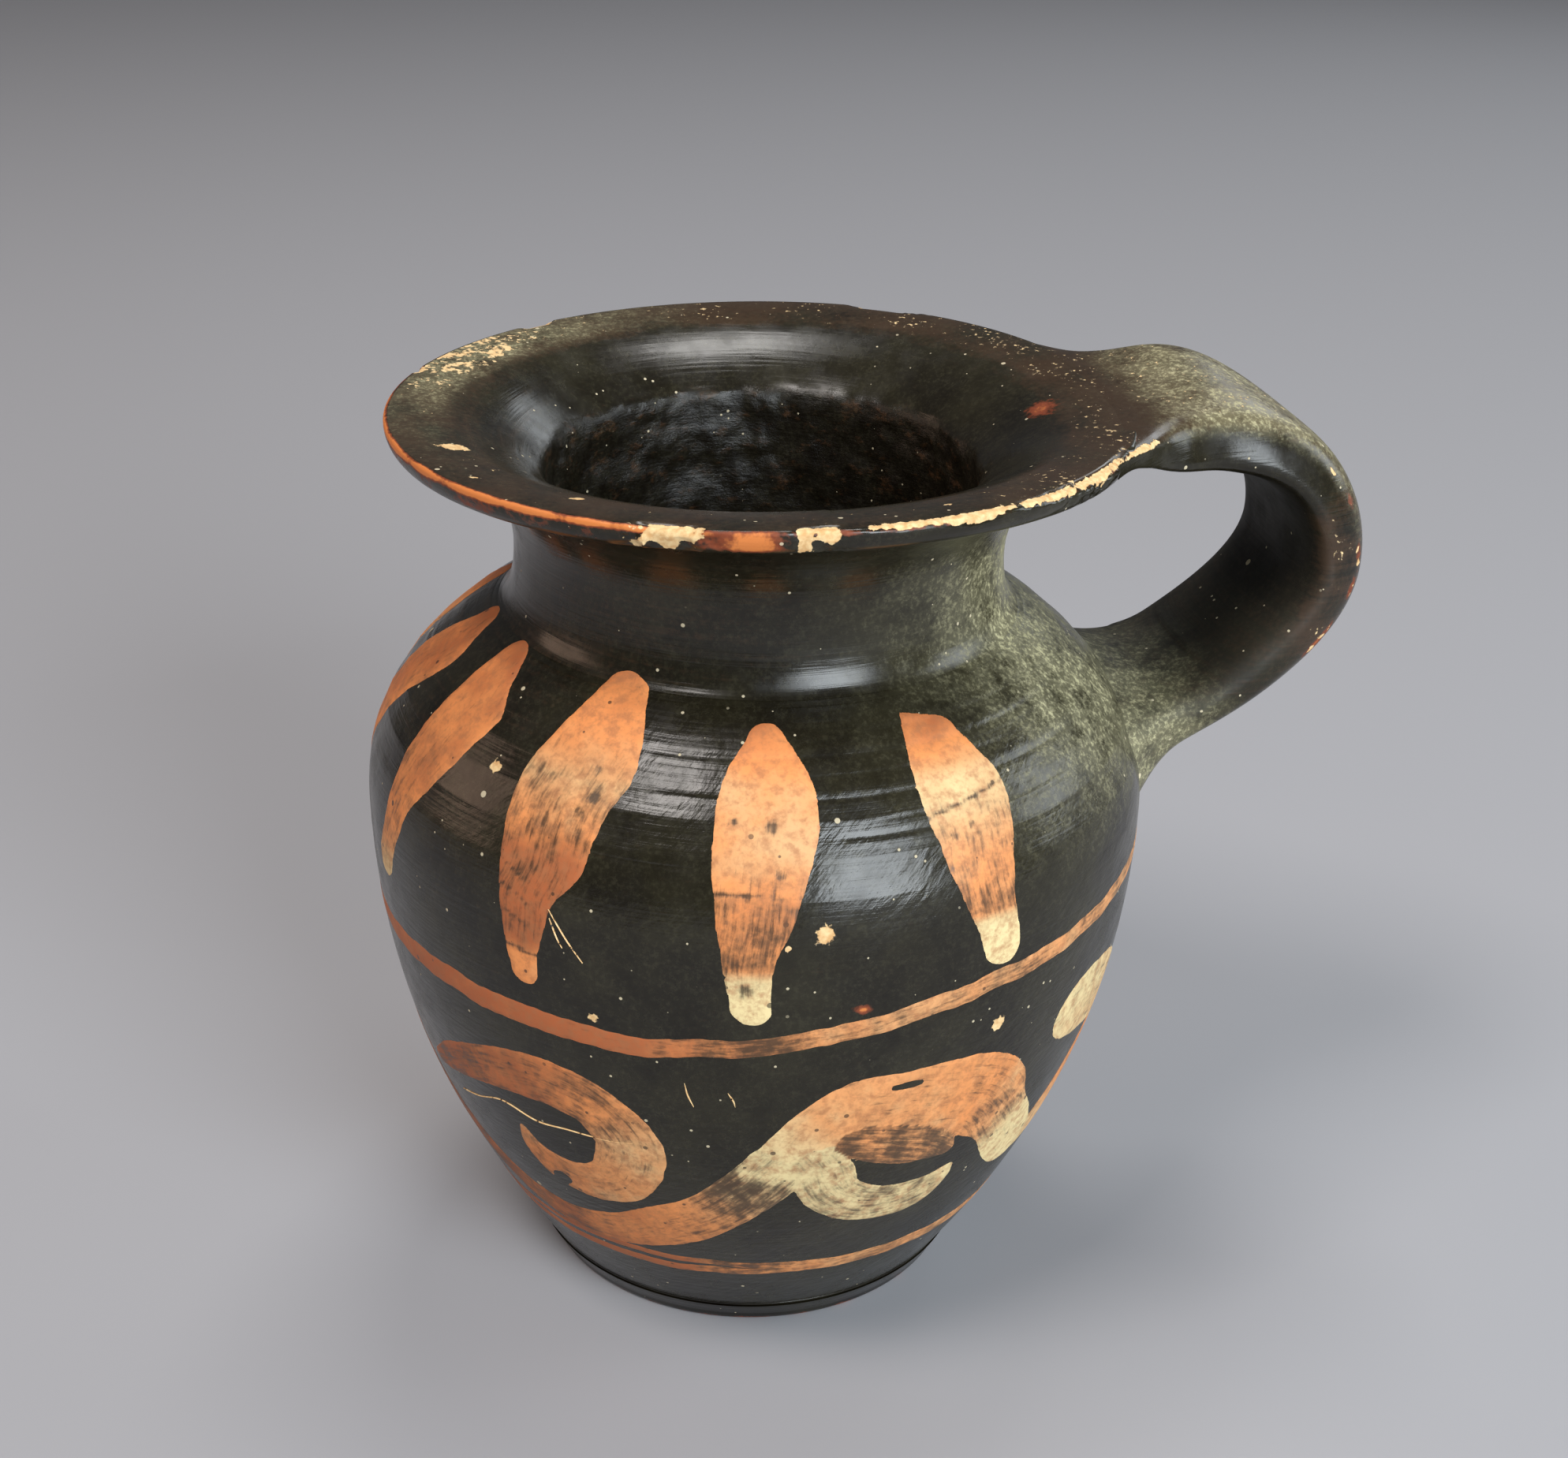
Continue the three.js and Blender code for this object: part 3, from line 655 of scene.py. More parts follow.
start = np.array((lip_radius - 7.0, lip_z - 2.0))
top = np.array((lip_radius + 5.5, lip_z + HUMP - STRAP_THICKNESS / 2))
outermost = np.array((lip_radius + 20.9, lip_z - 16.4))
root = np.array((belly_radius - 2.1, widest_z + 3.5))
inward = np.array((-math.cos(ROOT_SLOPE), -math.sin(ROOT_SLOPE)))
mid_line = np.vstack([
    bent(start, start + (5.0, 0.6), top - (5.5, 0), top, 0.1),
    bent(top, top + (6.7, 0), outermost + (0, 9), outermost, 0.1),
    bent(outermost, outermost - (0, 9), root - inward * 8, root, 0.1),
    straight(root, root + inward * ROOT_TAIL, 0.1),
    [root + inward * ROOT_TAIL],
])
mid_way = np.append(0, np.cumsum(np.linalg.norm(np.diff(mid_line, axis=0), axis=1)))
way = np.linspace(0, mid_way[-1], STRAP_STEPS)
centre = np.stack([np.interp(way, mid_way, mid_line[:, k]) for k in (0, 1)], 1)
along = np.gradient(centre, way, axis=0)
along /= np.linalg.norm(along, axis=1)[:, None]
outward = np.stack([-along[:, 1], along[:, 0]], 1)
fan = np.clip(1 - way / FAN_LENGTH, 0, 1) ** 2.4
near_root = step_up(way, mid_way[-1] - ROOT_TAIL - ROOT_LENGTH, mid_way[-1] - ROOT_TAIL)
half_width = STRAP_HALF + (FAN_HALF - STRAP_HALF) * fan + (ROOT_HALF - STRAP_HALF) * near_root
half_thick = STRAP_THICKNESS / 2 * np.ones(STRAP_STEPS)
free = np.maximum(0, way - SEAT_LENGTH)
half_thick -= (STRAP_THICKNESS - FAN_THICKNESS) / 2 * (1 - step_up(free, 0, THINNING_LENGTH))
half_thick -= (STRAP_THICKNESS - ROOT_THICKNESS) / 2 * near_root
twist = STRAP_TWIST * np.sin(math.pi * np.minimum(1, free / TWIST_LENGTH)) ** 2
side_turn = 2 * math.pi * np.arange(STRAP_SIDES) / STRAP_SIDES
squareness = np.where(np.cos(side_turn) < 0, NEAR_SQUARENESS, FAR_SQUARENESS)
on_lip = (1 - step_up(way, 3, FAN_LENGTH))[:, None]
power = 2 / (squareness + on_lip * (FAN_SQUARENESS - squareness))
side_share = np.sign(np.cos(side_turn)) * np.abs(np.cos(side_turn)) ** power
lift_share = np.sign(np.sin(side_turn)) * np.abs(np.sin(side_turn)) ** power
sideways = side_share * half_width[:, None]
lift = lift_share * half_thick[:, None]

# The edge towards the front leans back, as the thumb that drew the strap down left it.
leaning = step_up(way, 4, 10) * (1 - step_up(way, 40, 56))
sideways += leaning[:, None] * BEVEL * (1 + lift_share) / 2 * np.clip(-side_share, 0, 1) ** 3
across = sideways * np.cos(twist)[:, None] - lift * np.sin(twist)[:, None]
raised = sideways * np.sin(twist)[:, None] + lift * np.cos(twist)[:, None]
strap = np.stack([
    centre[:, :1] + outward[:, :1] * raised,
    across,
    centre[:, 1:] + outward[:, 1:] * raised,
], -1)

# Over the lip the fan follows the lip's face and underside, and it leaves the lip's edge as thin as that.
reach = np.hypot(strap[..., 0], strap[..., 1])
angle = np.degrees(np.arctan2(strap[..., 0], -strap[..., 1]))
face_line = np.vstack([lip_face, throat[:SLOPE_ROWS]])[::-1]
lip_face_z = np.interp(reach, face_line[:, 0], face_line[:, 1]) + lip_lift(angle, lip_z)
under_line = neck_side[NECK_FOOT_ROWS:]
lip_under_z = np.interp(reach, under_line[:, 0], under_line[:, 1]) + lip_lift(angle, lip_low_z)
fan_top = lip_face_z - FAN_SINK + (FAN_SINK + FAN_PROUD) * step_up(reach, 29.0, 34.5)
fan_under = lip_under_z + 0.35 * (1 - step_up(reach, under_radius - 0.8, under_radius + 0.4))
tilted = centre[:, 1:] + np.tan(twist)[:, None] * sideways
leaving = step_up(reach, lip_radius - 1, lip_radius + 8)
fan_top += leaving * (tilted + half_thick[:, None] - fan_top)
leaving = step_up(reach, under_radius, lip_radius + 4.5)
fan_under += leaving * (tilted - half_thick[:, None] - fan_under)
bead = step_up(way, 1, BEAD_REACH / 2) * (1 - step_up(way, BEAD_REACH / 2, BEAD_REACH))
fan_under -= BEAD * bead[:, None] * step_up(reach, lip_radius - 1, lip_radius + 1)
fan_z = (fan_top + fan_under) / 2 + (fan_top - fan_under) / 2 * lift_share
on_fan = (1 - step_up(way, 9, 17))[:, None]
strap[..., 2] += on_fan * (fan_z - strap[..., 2])

# A wet finger run along it evens out the strap where it leaves the lip.
evened = strap.copy()
for stroke in range(EVENING_STROKES):
    evened[1:-1] = (evened[:-2] + 2 * evened[1:-1] + evened[2:]) / 4
fingered = step_up(way, 5, 9) * (1 - step_up(way, 22, 27))
strap += fingered[:, None, None] * (evened - strap)

# At the root the clay is smoothed out along the wall, and ends inside it.
outside_slope = np.gradient(outside[:, 0], outside[:, 1])


def off_wall(points):
    """How far points stand off the belly's outside, and the way straight out of it there."""
    reach = np.hypot(points[..., 0], points[..., 1])
    lean = np.interp(points[..., 2], outside[:, 1], outside_slope)
    out = np.stack([points[..., 0] / reach, points[..., 1] / reach, -lean], -1)
    out /= np.linalg.norm(out, axis=-1, keepdims=True)
    return (reach - np.interp(points[..., 2], outside[:, 1], outside[:, 0])) / np.hypot(1, lean), out


clear, out = off_wall(strap)
lower_part = (way > mid_way[-1] * 0.55)[:, None]
inner_side = step_up(-lift_share, 0.0, 0.9)
fillet = FILLET + inner_side * (INNER_FILLET - FILLET)
fillet_reach = FILLET_REACH + inner_side * (INNER_FILLET_REACH - FILLET_REACH)
flare = np.where(lower_part, fillet * np.clip(1 - clear / fillet_reach, 0, 1.1) ** 2.4, 0)
push = np.stack([outward[:, :1] * lift, sideways * 0.35, outward[:, 1:] * lift], -1)
push -= (push * out).sum(-1, keepdims=True) * out
push /= np.linalg.norm(push, axis=-1, keepdims=True) + 1e-9
strap += push * flare[..., None]
clear, out = off_wall(strap)
strap += out * np.where(lower_part, np.maximum(0, -ROOT_DEPTH - clear), 0)[..., None]

strap_points = strap.reshape(-1, 3)
strap_faces = []
for step in range(STRAP_STEPS - 1):
    for side in range(STRAP_SIDES):
        here = step * STRAP_SIDES + side
        beside = step * STRAP_SIDES + (side + 1) % STRAP_SIDES
        strap_faces.append((here, beside, beside + STRAP_SIDES, here + STRAP_SIDES))
strap_faces.append(tuple(reversed(range(STRAP_SIDES))))
strap_faces.append(tuple(range((STRAP_STEPS - 1) * STRAP_SIDES, STRAP_STEPS * STRAP_SIDES)))
handle = clay_object("handle", strap_points, strap_faces)
handle.data.materials.append(gloss)
share = np.repeat(way / mid_way[-1], STRAP_SIDES)
side = side_share.ravel()
face = lift_share.ravel()
ragged = clouds(strap_points, 3.0, 12)
near_side = step_up(-side, 0.7, 0.95)
corner_face = 0.66 - 0.14 * near_side
corner = hill(face, corner_face, 0.18) * step_up(np.abs(side), 0.6, 0.82)
rubbed = corner * (0.46 + 0.6 * ragged) * step_up(share, 0.34, 0.44) * (1 - step_up(share, 0.66, 0.74))
mark(handle, "rubbed", rubbed)
near_corner = step_up(-side, 0.72, 0.9) * hill(face, 0.6, 0.2)
at_lip = 1 - step_up(strap_points[:, 0], lip_radius - 3.5, lip_radius + 2.5)
bare = 0.72 * near_corner * at_lip * (share < 0.3) * (1 + 0.6 * ragged)
fine_ragged = clouds(strap_points, 0.8, 18)
worn = step_up(share, 0.3, 0.4) * (1 - step_up(share, 0.62, 0.7))
worn *= step_up(ragged + fine_ragged, -0.1, 0.8)
bare = np.maximum(bare, 0.80 * corner * worn)
held = near_side * step_up(share, 0.34, 0.44) * (1 - step_up(share, 0.60, 0.70))
bare = np.maximum(bare, held * step_up(face, -0.7, -0.2) * (0.32 + 0.20 * ragged))
upper_face = step_up(face, 0.2, 0.9) * (1 - step_up(share, 0.3, 0.55))
bare = np.maximum(bare, upper_face * (0.31 + 0.10 * ragged))
mark(handle, "bare", bare)
bright_side = 0.55 * (1 - step_up(share, 0.42, 0.58))
mark(handle, "dull", 0.8 * step_up(-face - bright_side, 0.0, 0.4))
mark(handle, "thinned", 0.9 * upper_face + 0.3 * step_up(share, 0.4, 0.7) + 0.6 * held * (1 + ragged))
# Dusted, with a painted sheen, at the root on the near side; the strap's upper face is only dusted.
root_dust_and_sheen = step_up(share, 0.74, 0.92) * step_up(strap_points[:, 2], 47, 59)
root_dust_and_sheen *= 1 - 0.75 * step_up(strap_points[:, 1], -6, 8)
mark(handle, "dust_and_sheen_mark", 0.02 + 0.9 * root_dust_and_sheen + 0.7 * upper_face * step_up(share, 0.08, 0.18))
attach(handle, "root")
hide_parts("handle", "handle_upper_slip", "handle_lower_slip")


# Painted lines: two rings of orange slip laid on with a brush while the pot turned slowly, the upper one
# climbing a little and the lower one drawn twice on the left. Black shows where the paint is thin.
PAINT_PROUD = 0.06
PAINT_SUNK = 0.05
PEACH = (0.75, 0.43, 0.195, 1)
ORANGE = (0.84, 0.30, 0.09, 1)
BRICK = (0.46, 0.125, 0.04, 1)
CREAM = (0.82, 0.66, 0.34, 1)
STREAK_DARK = (0.030, 0.022, 0.015, 1)
GRIME = (0.40, 0.15, 0.06, 1)
THIN_MAUVE = (0.22, 0.112, 0.05, 1)


def orange_paint():
    """Brushed slip: brick to peach, cream where it pooled, streaked dark where the brush ran dry."""
    finish, tree, shader, in_mm = new_finish("orange_paint")
    brush = shader_node(tree, "ShaderNodeAttribute", attribute_name="brush").outputs["Vector"]
    broad = cloudy(tree, in_mm, 0.22, 5, 0.6)
    fine = cloudy(tree, in_mm, 2.2, 5)
    hairs = cloudy(tree, stretched(tree, brush, (0.30, 2.4, 1.0)), 1.0, 5, 0.65)
    brick = reckon(tree, "ADD", marked(tree, "brick"), reckon(tree, "MULTIPLY", broad, 0.9))
    colour = over(tree, between(tree, brick, 0.30, 0.90), PEACH, ORANGE)
    colour = over(tree, between(tree, brick, 0.80, 1.40), colour, BRICK)
    pale = reckon(tree, "ADD", marked(tree, "pooled"), reckon(tree, "MULTIPLY", broad, 0.8))
    colour = over(tree, between(tree, pale, 0.65, 1.30), colour, CREAM)
    mottle = between(tree, cloudy(tree, in_mm, 0.95, 5, 0.62), 0.44, 0.70, 0.0, 0.62)
    colour = over(tree, mottle, colour, GRIME)
    colour = over(tree, between(tree, fine, 0.45, 0.80, 0.0, 0.45), colour, GRIME)

    thin = marked(tree, "thin")
    smudge = cloudy(tree, in_mm, 0.5, 6, 0.65)
    haze = reckon(tree, "MULTIPLY", thin, between(tree, smudge, 0.30, 0.70, 0.15, 0.95))
    colour = over(tree, haze, colour, THIN_MAUVE)
    dry = reckon(tree, "ADD", reckon(tree, "MULTIPLY", hairs, 0.55),
                 reckon(tree, "MULTIPLY", smudge, 0.45))
    dry = reckon(tree, "ADD", dry, reckon(tree, "MULTIPLY", thin, 0.27))
    dry = between(tree, dry, 0.60, 0.80)
    flecks = specks(tree, in_mm, 0.8, 0.22, 0.24)
    dark = reckon(tree, "MAXIMUM", reckon(tree, "MULTIPLY", dry, 0.8),
                  reckon(tree, "MULTIPLY", flecks, 0.75))
    colour = over(tree, dark, colour, STREAK_DARK)
    tree.links.new(colour, shader.inputs["Base Color"])
    worn = reckon(tree, "ADD", dark, reckon(tree, "MULTIPLY", fine, 0.3))
    tree.links.new(between(tree, worn, 0.1, 1.1, 0.60, 0.38), shader.inputs["Roughness"])
    shader.inputs["Specular IOR Level"].default_value = 0.35
    relief = reckon(tree, "SUBTRACT", reckon(tree, "MULTIPLY", hairs, 0.6), dark)
    bump = shader_node(tree, "ShaderNodeBump", {"Height": relief, "Strength": 0.5, "Distance": 0.05 * MM})
    tree.links.new(bump.outputs["Normal"], shader.inputs["Normal"])
    return finish


paint = orange_paint()


def painted_piece(name, points, faces, brush, look):
    """A thin closed layer of paint, with the way of the brush and how thin, pooled and red the paint is."""
    piece = clay_object(name, points, faces)
    piece.data.materials.append(paint)
    layer = piece.data.attributes.new("brush", "FLOAT_VECTOR", "POINT")
    layer.data.foreach_set("vector", np.asarray(brush, np.float32).ravel())
    for key, values in zip(("thin", "pooled", "brick"), np.asarray(look).T):
        mark(piece, key, values)
    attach(piece, "root")
    return piece


PAINTED_NECK_ROWS = 16
painted_wall = np.vstack([outside, neck_side[:PAINTED_NECK_ROWS]])
wall_rise = np.append(0, np.cumsum(np.linalg.norm(np.diff(painted_wall, axis=0), axis=1)))
wall_slope = np.gradient(painted_wall, wall_rise, axis=0)


def rise_at(height):
    """Way up along the wall to a height."""
    return np.interp(height, painted_wall[:, 1], wall_rise)


def on_wall(angle, rise, proud=0.0):
    """Points on the outside of the wall, by angle in degrees and by the way up along the wall."""
    radius = np.interp(rise, wall_rise, painted_wall[:, 0])
    height = np.interp(rise, wall_rise, painted_wall[:, 1])
    out = np.interp(rise, wall_rise, wall_slope[:, 1])
    up = -np.interp(rise, wall_rise, wall_slope[:, 0])
    return around(angle, radius + uneven(angle, height) + out * proud, height + up * proud)


def smooth_through(knots, at):
    """A smooth line through given (place, value) pairs."""
    knot_at, value = np.array(knots, float).T
    slope = np.gradient(value, knot_at)
    index = np.clip(np.searchsorted(knot_at, at, side="right") - 1, 0, len(knot_at) - 2)
    gap = knot_at[index + 1] - knot_at[index]
    share = np.clip((at - knot_at[index]) / gap, 0, 1)
    rest = 1 - share
    first = rest ** 2 * ((1 + 2 * share) * value[index] + share * gap * slope[index])
    second = share ** 2 * ((1 + 2 * rest) * value[index + 1] - rest * gap * slope[index + 1])
    return first + second


LINE_STEPS = 720
LINE_ROWS = np.array((-1.0, -0.8, -0.5, 0.0, 0.5, 0.8, 1.0))


def ring_line(name, height_at, half_at, look_at):
    """A painted ring whose middle height, half breadth and look change with the angle."""
    angle = np.arange(LINE_STEPS) * 360 / LINE_STEPS - 180
    middle = rise_at(height_at(angle))
    half = half_at(angle)
    spots = around(angle, belly_radius, 0)
    wander = clouds(spots, 4.0, 16) + 0.5 * clouds(spots, 1.2, 17)
    upper, lower = [], []
    for row in LINE_ROWS:
        rise = middle + row * half * (1 + 0.2 * wander * row) + 0.1 * wander
        crown = PAINT_PROUD * (1 - row ** 4) - 0.02
        upper.append(on_wall(angle, rise, crown))
        lower.append(on_wall(angle, rise, crown - PAINT_SUNK))
    points = np.concatenate(upper + lower[1:-1][::-1])
    loops = len(upper) + len(lower) - 2
    faces = []
    for loop in range(loops):
        here = loop * LINE_STEPS
        above = (loop + 1) % loops * LINE_STEPS
        for step in range(LINE_STEPS):
            beside = (step + 1) % LINE_STEPS
            faces.append((here + step, here + beside, above + beside, above + step))
    row_of = np.concatenate([LINE_ROWS, LINE_ROWS[1:-1][::-1]])
    run = np.tile(np.radians(angle) * belly_radius, loops)
    brush = np.stack([run, np.repeat(row_of, LINE_STEPS) * np.tile(half, loops), 0 * run], 1)
    return painted_piece(name, points, faces, brush, np.tile(look_at(angle), (loops, 1)))


# Height of the upper line at some angles: it climbs towards the handle and ends where it began.
UPPER_LINE = ((-180, 46.2), (-130, 43.0), (-90, 41.6), (-58, 42.3), (-25, 42.3), (-7, 43.4), (15, 45.7),
              (37, 47.1), (62, 48.4), (95, 49.6), (140, 48.8), (180, 46.2))
LOWER_LINE_Z = 11.0
LOWER_LINE_SPLIT = 0.55


def left_side(angle):
    """1 on the left of the pot, 0 on its right."""
    return 1 - step_up(np.abs(angle + 80), 45, 90)


def line_look(angle):
    """Thinness, pooling and redness of the painted lines, which are reddest on the left."""
    red = left_side(angle)
    thin = 0.35 + 0.25 * np.sin(np.radians(2 * angle + 20)) + 0.1 * red
    thin += 0.5 * hill(angle, -13, 10)
    return np.stack([thin, 0.25 - 0.15 * red, 0.15 + 0.75 * red], 1)


def lower_line_z(angle):
    """Middle height of the lower line, which rises and falls a little."""
    return LOWER_LINE_Z + 0.25 * np.sin(np.radians(angle + 60))


ring_line("upper_line", lambda angle: smooth_through(UPPER_LINE, angle),
          lambda angle: 1.05 + 0.2 * left_side(angle) + 0.08 * np.sin(np.radians(5 * angle)), line_look)
ring_line("lower_line", lambda angle: lower_line_z(angle) - 0.2 - LOWER_LINE_SPLIT * left_side(angle),
          lambda angle: 0.95 - 0.15 * left_side(angle), line_look)
ring_line("lower_line_second_stroke",
          lambda angle: lower_line_z(angle) + 0.5 + LOWER_LINE_SPLIT * left_side(angle),
          lambda angle: 0.70 - 0.1 * left_side(angle), line_look)


# Tongues: broad strokes of the same paint round the shoulder, each laid on from the neck down with one
# press of a loaded brush. The zone beside the handle is left black.
GRID_STEP = 0.3


def mm_per_degree(rise):
    """How much of the wall one degree takes, in millimetres, at a way up along the wall."""
    return math.pi / 180 * np.interp(rise, wall_rise, painted_wall[:, 0])


def brushed_layer(name, angles, rises, stroke_at):
    """A thin closed layer over the part of the wall where a stroke has a depth above 0. The stroke gives
    that depth in millimetres, the way of the brush, and the look of the paint."""
    mean_radius = float(np.mean(np.interp(rises, wall_rise, painted_wall[:, 0])))
    columns = max(4, round(math.radians(angles[1] - angles[0]) * mean_radius / GRID_STEP))
    rows = max(4, round((rises[1] - rises[0]) / GRID_STEP))
    angle, rise = np.meshgrid(np.linspace(*angles, columns), np.linspace(*rises, rows), indexing="ij")
    angle, rise = angle.ravel(), rise.ravel()
    per_degree = mm_per_degree(rise)

    # Grid points close to the stroke's edge are moved on to it.
    nudge = 0.03
    depth = stroke_at(angle, rise)[0]
    slope_across = (stroke_at(angle + nudge / per_degree, rise)[0] - depth) / nudge
    slope_up = (stroke_at(angle, rise + nudge)[0] - depth) / nudge
    steep = np.maximum(slope_across ** 2 + slope_up ** 2, 0.1)
    on_edge = np.abs(depth) / np.sqrt(steep) < GRID_STEP * 0.6
    angle = np.where(on_edge, angle - depth * slope_across / steep / per_degree, angle)
    rise = np.where(on_edge, rise - depth * slope_up / steep, rise)
    kept = (depth > 0) | on_edge
    depth, brush, look = stroke_at(angle, rise)

    faces = []
    for column in range(columns - 1):
        for row in range(rows - 1):
            first = column * rows + row
            corners = [k for k in (first, first + rows, first + rows + 1, first + 1) if kept[k]]
            if len(corners) >= 3 and not all(on_edge[k] for k in corners):
                faces.append(corners)
    sides = {(a, b) for face in faces for a, b in zip(face, face[1:] + face[:1])}
    rim = {point for a, b in sides if (b, a) not in sides for point in (a, b)}
    used = sorted({point for face in faces for point in face})
    buried = [point for point in used if point not in rim]
    above = {point: number for number, point in enumerate(used)}
    below = dict(above)
    below.update({point: len(used) + number for number, point in enumerate(buried)})
    crown = PAINT_PROUD * step_up(depth[used], 0.0, 0.4) + 0.005
    crown[[point in rim for point in used]] = -0.02
    points = np.vstack([on_wall(angle[used], rise[used], crown),
                        on_wall(angle[buried], rise[buried], -PAINT_SUNK)])
    shell = [[above[k] for k in face] for face in faces]
    shell += [[below[k] for k in reversed(face)] for face in faces]
    order = np.array(used + buried)
    return painted_piece(name, points, shell, brush[order], look[order])


def ragged_edge(angle, rise, seed):
    """Small unevenness of a painted edge, in millimetres."""
    spots = on_wall(angle, rise)
    return 0.10 * clouds(spots, 1.3, seed) + 0.05 * clouds(spots, 0.6, seed + 1)


def along_stroke(looks, share):
    """Thinness, pooling and redness of the paint along a stroke, from given places on it."""
    looks = np.array(looks, float)
    return np.stack([np.interp(share, looks[:, 0], looks[:, k]) for k in (1, 2, 3)], 1)


# Dark marks on the tongues: cracks as (left angle, height, right angle, height), and spots as (angle,
# height, size).
CRACKS = ((13, 62.4, 29, 63.8), (-49, 49.6, -40, 49.2), (-18, 57.9, -4, 57.6), (-48.4, 57.4, -44, 56.2),
          (-47.6, 55.4, -42, 53.8), (-46.8, 53.0, -43, 52.0))
SPOTS = ((-9.2, 62.9, 0.6), (-14.6, 63.2, 0.3), (-8.0, 59.4, 0.5), (-12.5, 48.9, 0.7),
         (17.5, 60.8, 0.5), (20.5, 61.4, 0.4), (-37.0, 65.4, 0.5), (-36.0, 63.6, 0.6), (-38, 62.4, 0.5))


def dark_marks(angle, rise):
    """1 in the middle of a crack or spot, 0 away from them."""
    per_degree = mm_per_degree(rise)
    dark = np.zeros(len(angle))
    for left, left_z, right, right_z in CRACKS:
        share = (angle - left) / (right - left)
        off = rise - rise_at(left_z + np.clip(share, 0, 1) * (right_z - left_z))
        dark = np.maximum(dark, (np.abs(share - 0.5) < 0.5) * hill(off, 0, 0.22))
    for spot_angle, spot_z, size in SPOTS:
        off = np.hypot((angle - spot_angle) * per_degree, rise - rise_at(spot_z))
        dark = np.maximum(dark, np.clip(1.6 - off / size, 0, 1))
    return dark


def round_corner(first, second, corner):
    """Depth inside two edges that meet in a rounded corner, from the depth inside each of them."""
    first, second = corner - first, corner - second
    rounded = corner - np.hypot(np.maximum(first, 0), np.maximum(second, 0))
    return rounded - np.minimum(np.maximum(first, second), 0)


def paint_tongue(name, rows, looks, seed):
    """One tongue, from its rows of (height, left edge, right edge) and the look of the paint along it."""
    rows = np.array(rows, float)[::-1]
    row_rise = rise_at(rows[:, 0])
    tip, top_end = row_rise[0], row_rise[-1]
    end_radius = np.interp(row_rise[[0, -1]], wall_rise, painted_wall[:, 0])
    tip_round, top_round = 0.45 * np.radians(rows[[0, -1], 2] - rows[[0, -1], 1]) * end_radius + 0.05
    left_knots = np.stack([row_rise, rows[:, 1]], 1)
    right_knots = np.stack([row_rise, rows[:, 2]], 1)

    def stroke_at(angle, rise):
        left = smooth_through(left_knots, rise)
        right = smooth_through(right_knots, rise)
        per_degree = mm_per_degree(rise)
        beside = np.minimum(angle - left, right - angle) * per_degree
        depth = round_corner(beside, rise - tip, tip_round)
        depth = np.minimum(depth, round_corner(beside, top_end - rise, top_round))
        depth = depth + ragged_edge(angle, rise, seed)
        brush = np.stack([rise, (angle - (left + right) / 2) * per_degree, np.full(len(angle), seed)], 1)
        look = along_stroke(looks, (top_end - rise) / (top_end - tip))
        look[:, 0] = np.maximum(look[:, 0], dark_marks(angle, rise))
        return depth, brush, look

    brushed_layer(name, (rows[:, 1].min() - 2, rows[:, 2].max() + 2), (tip - 0.8, top_end + 0.8), stroke_at)


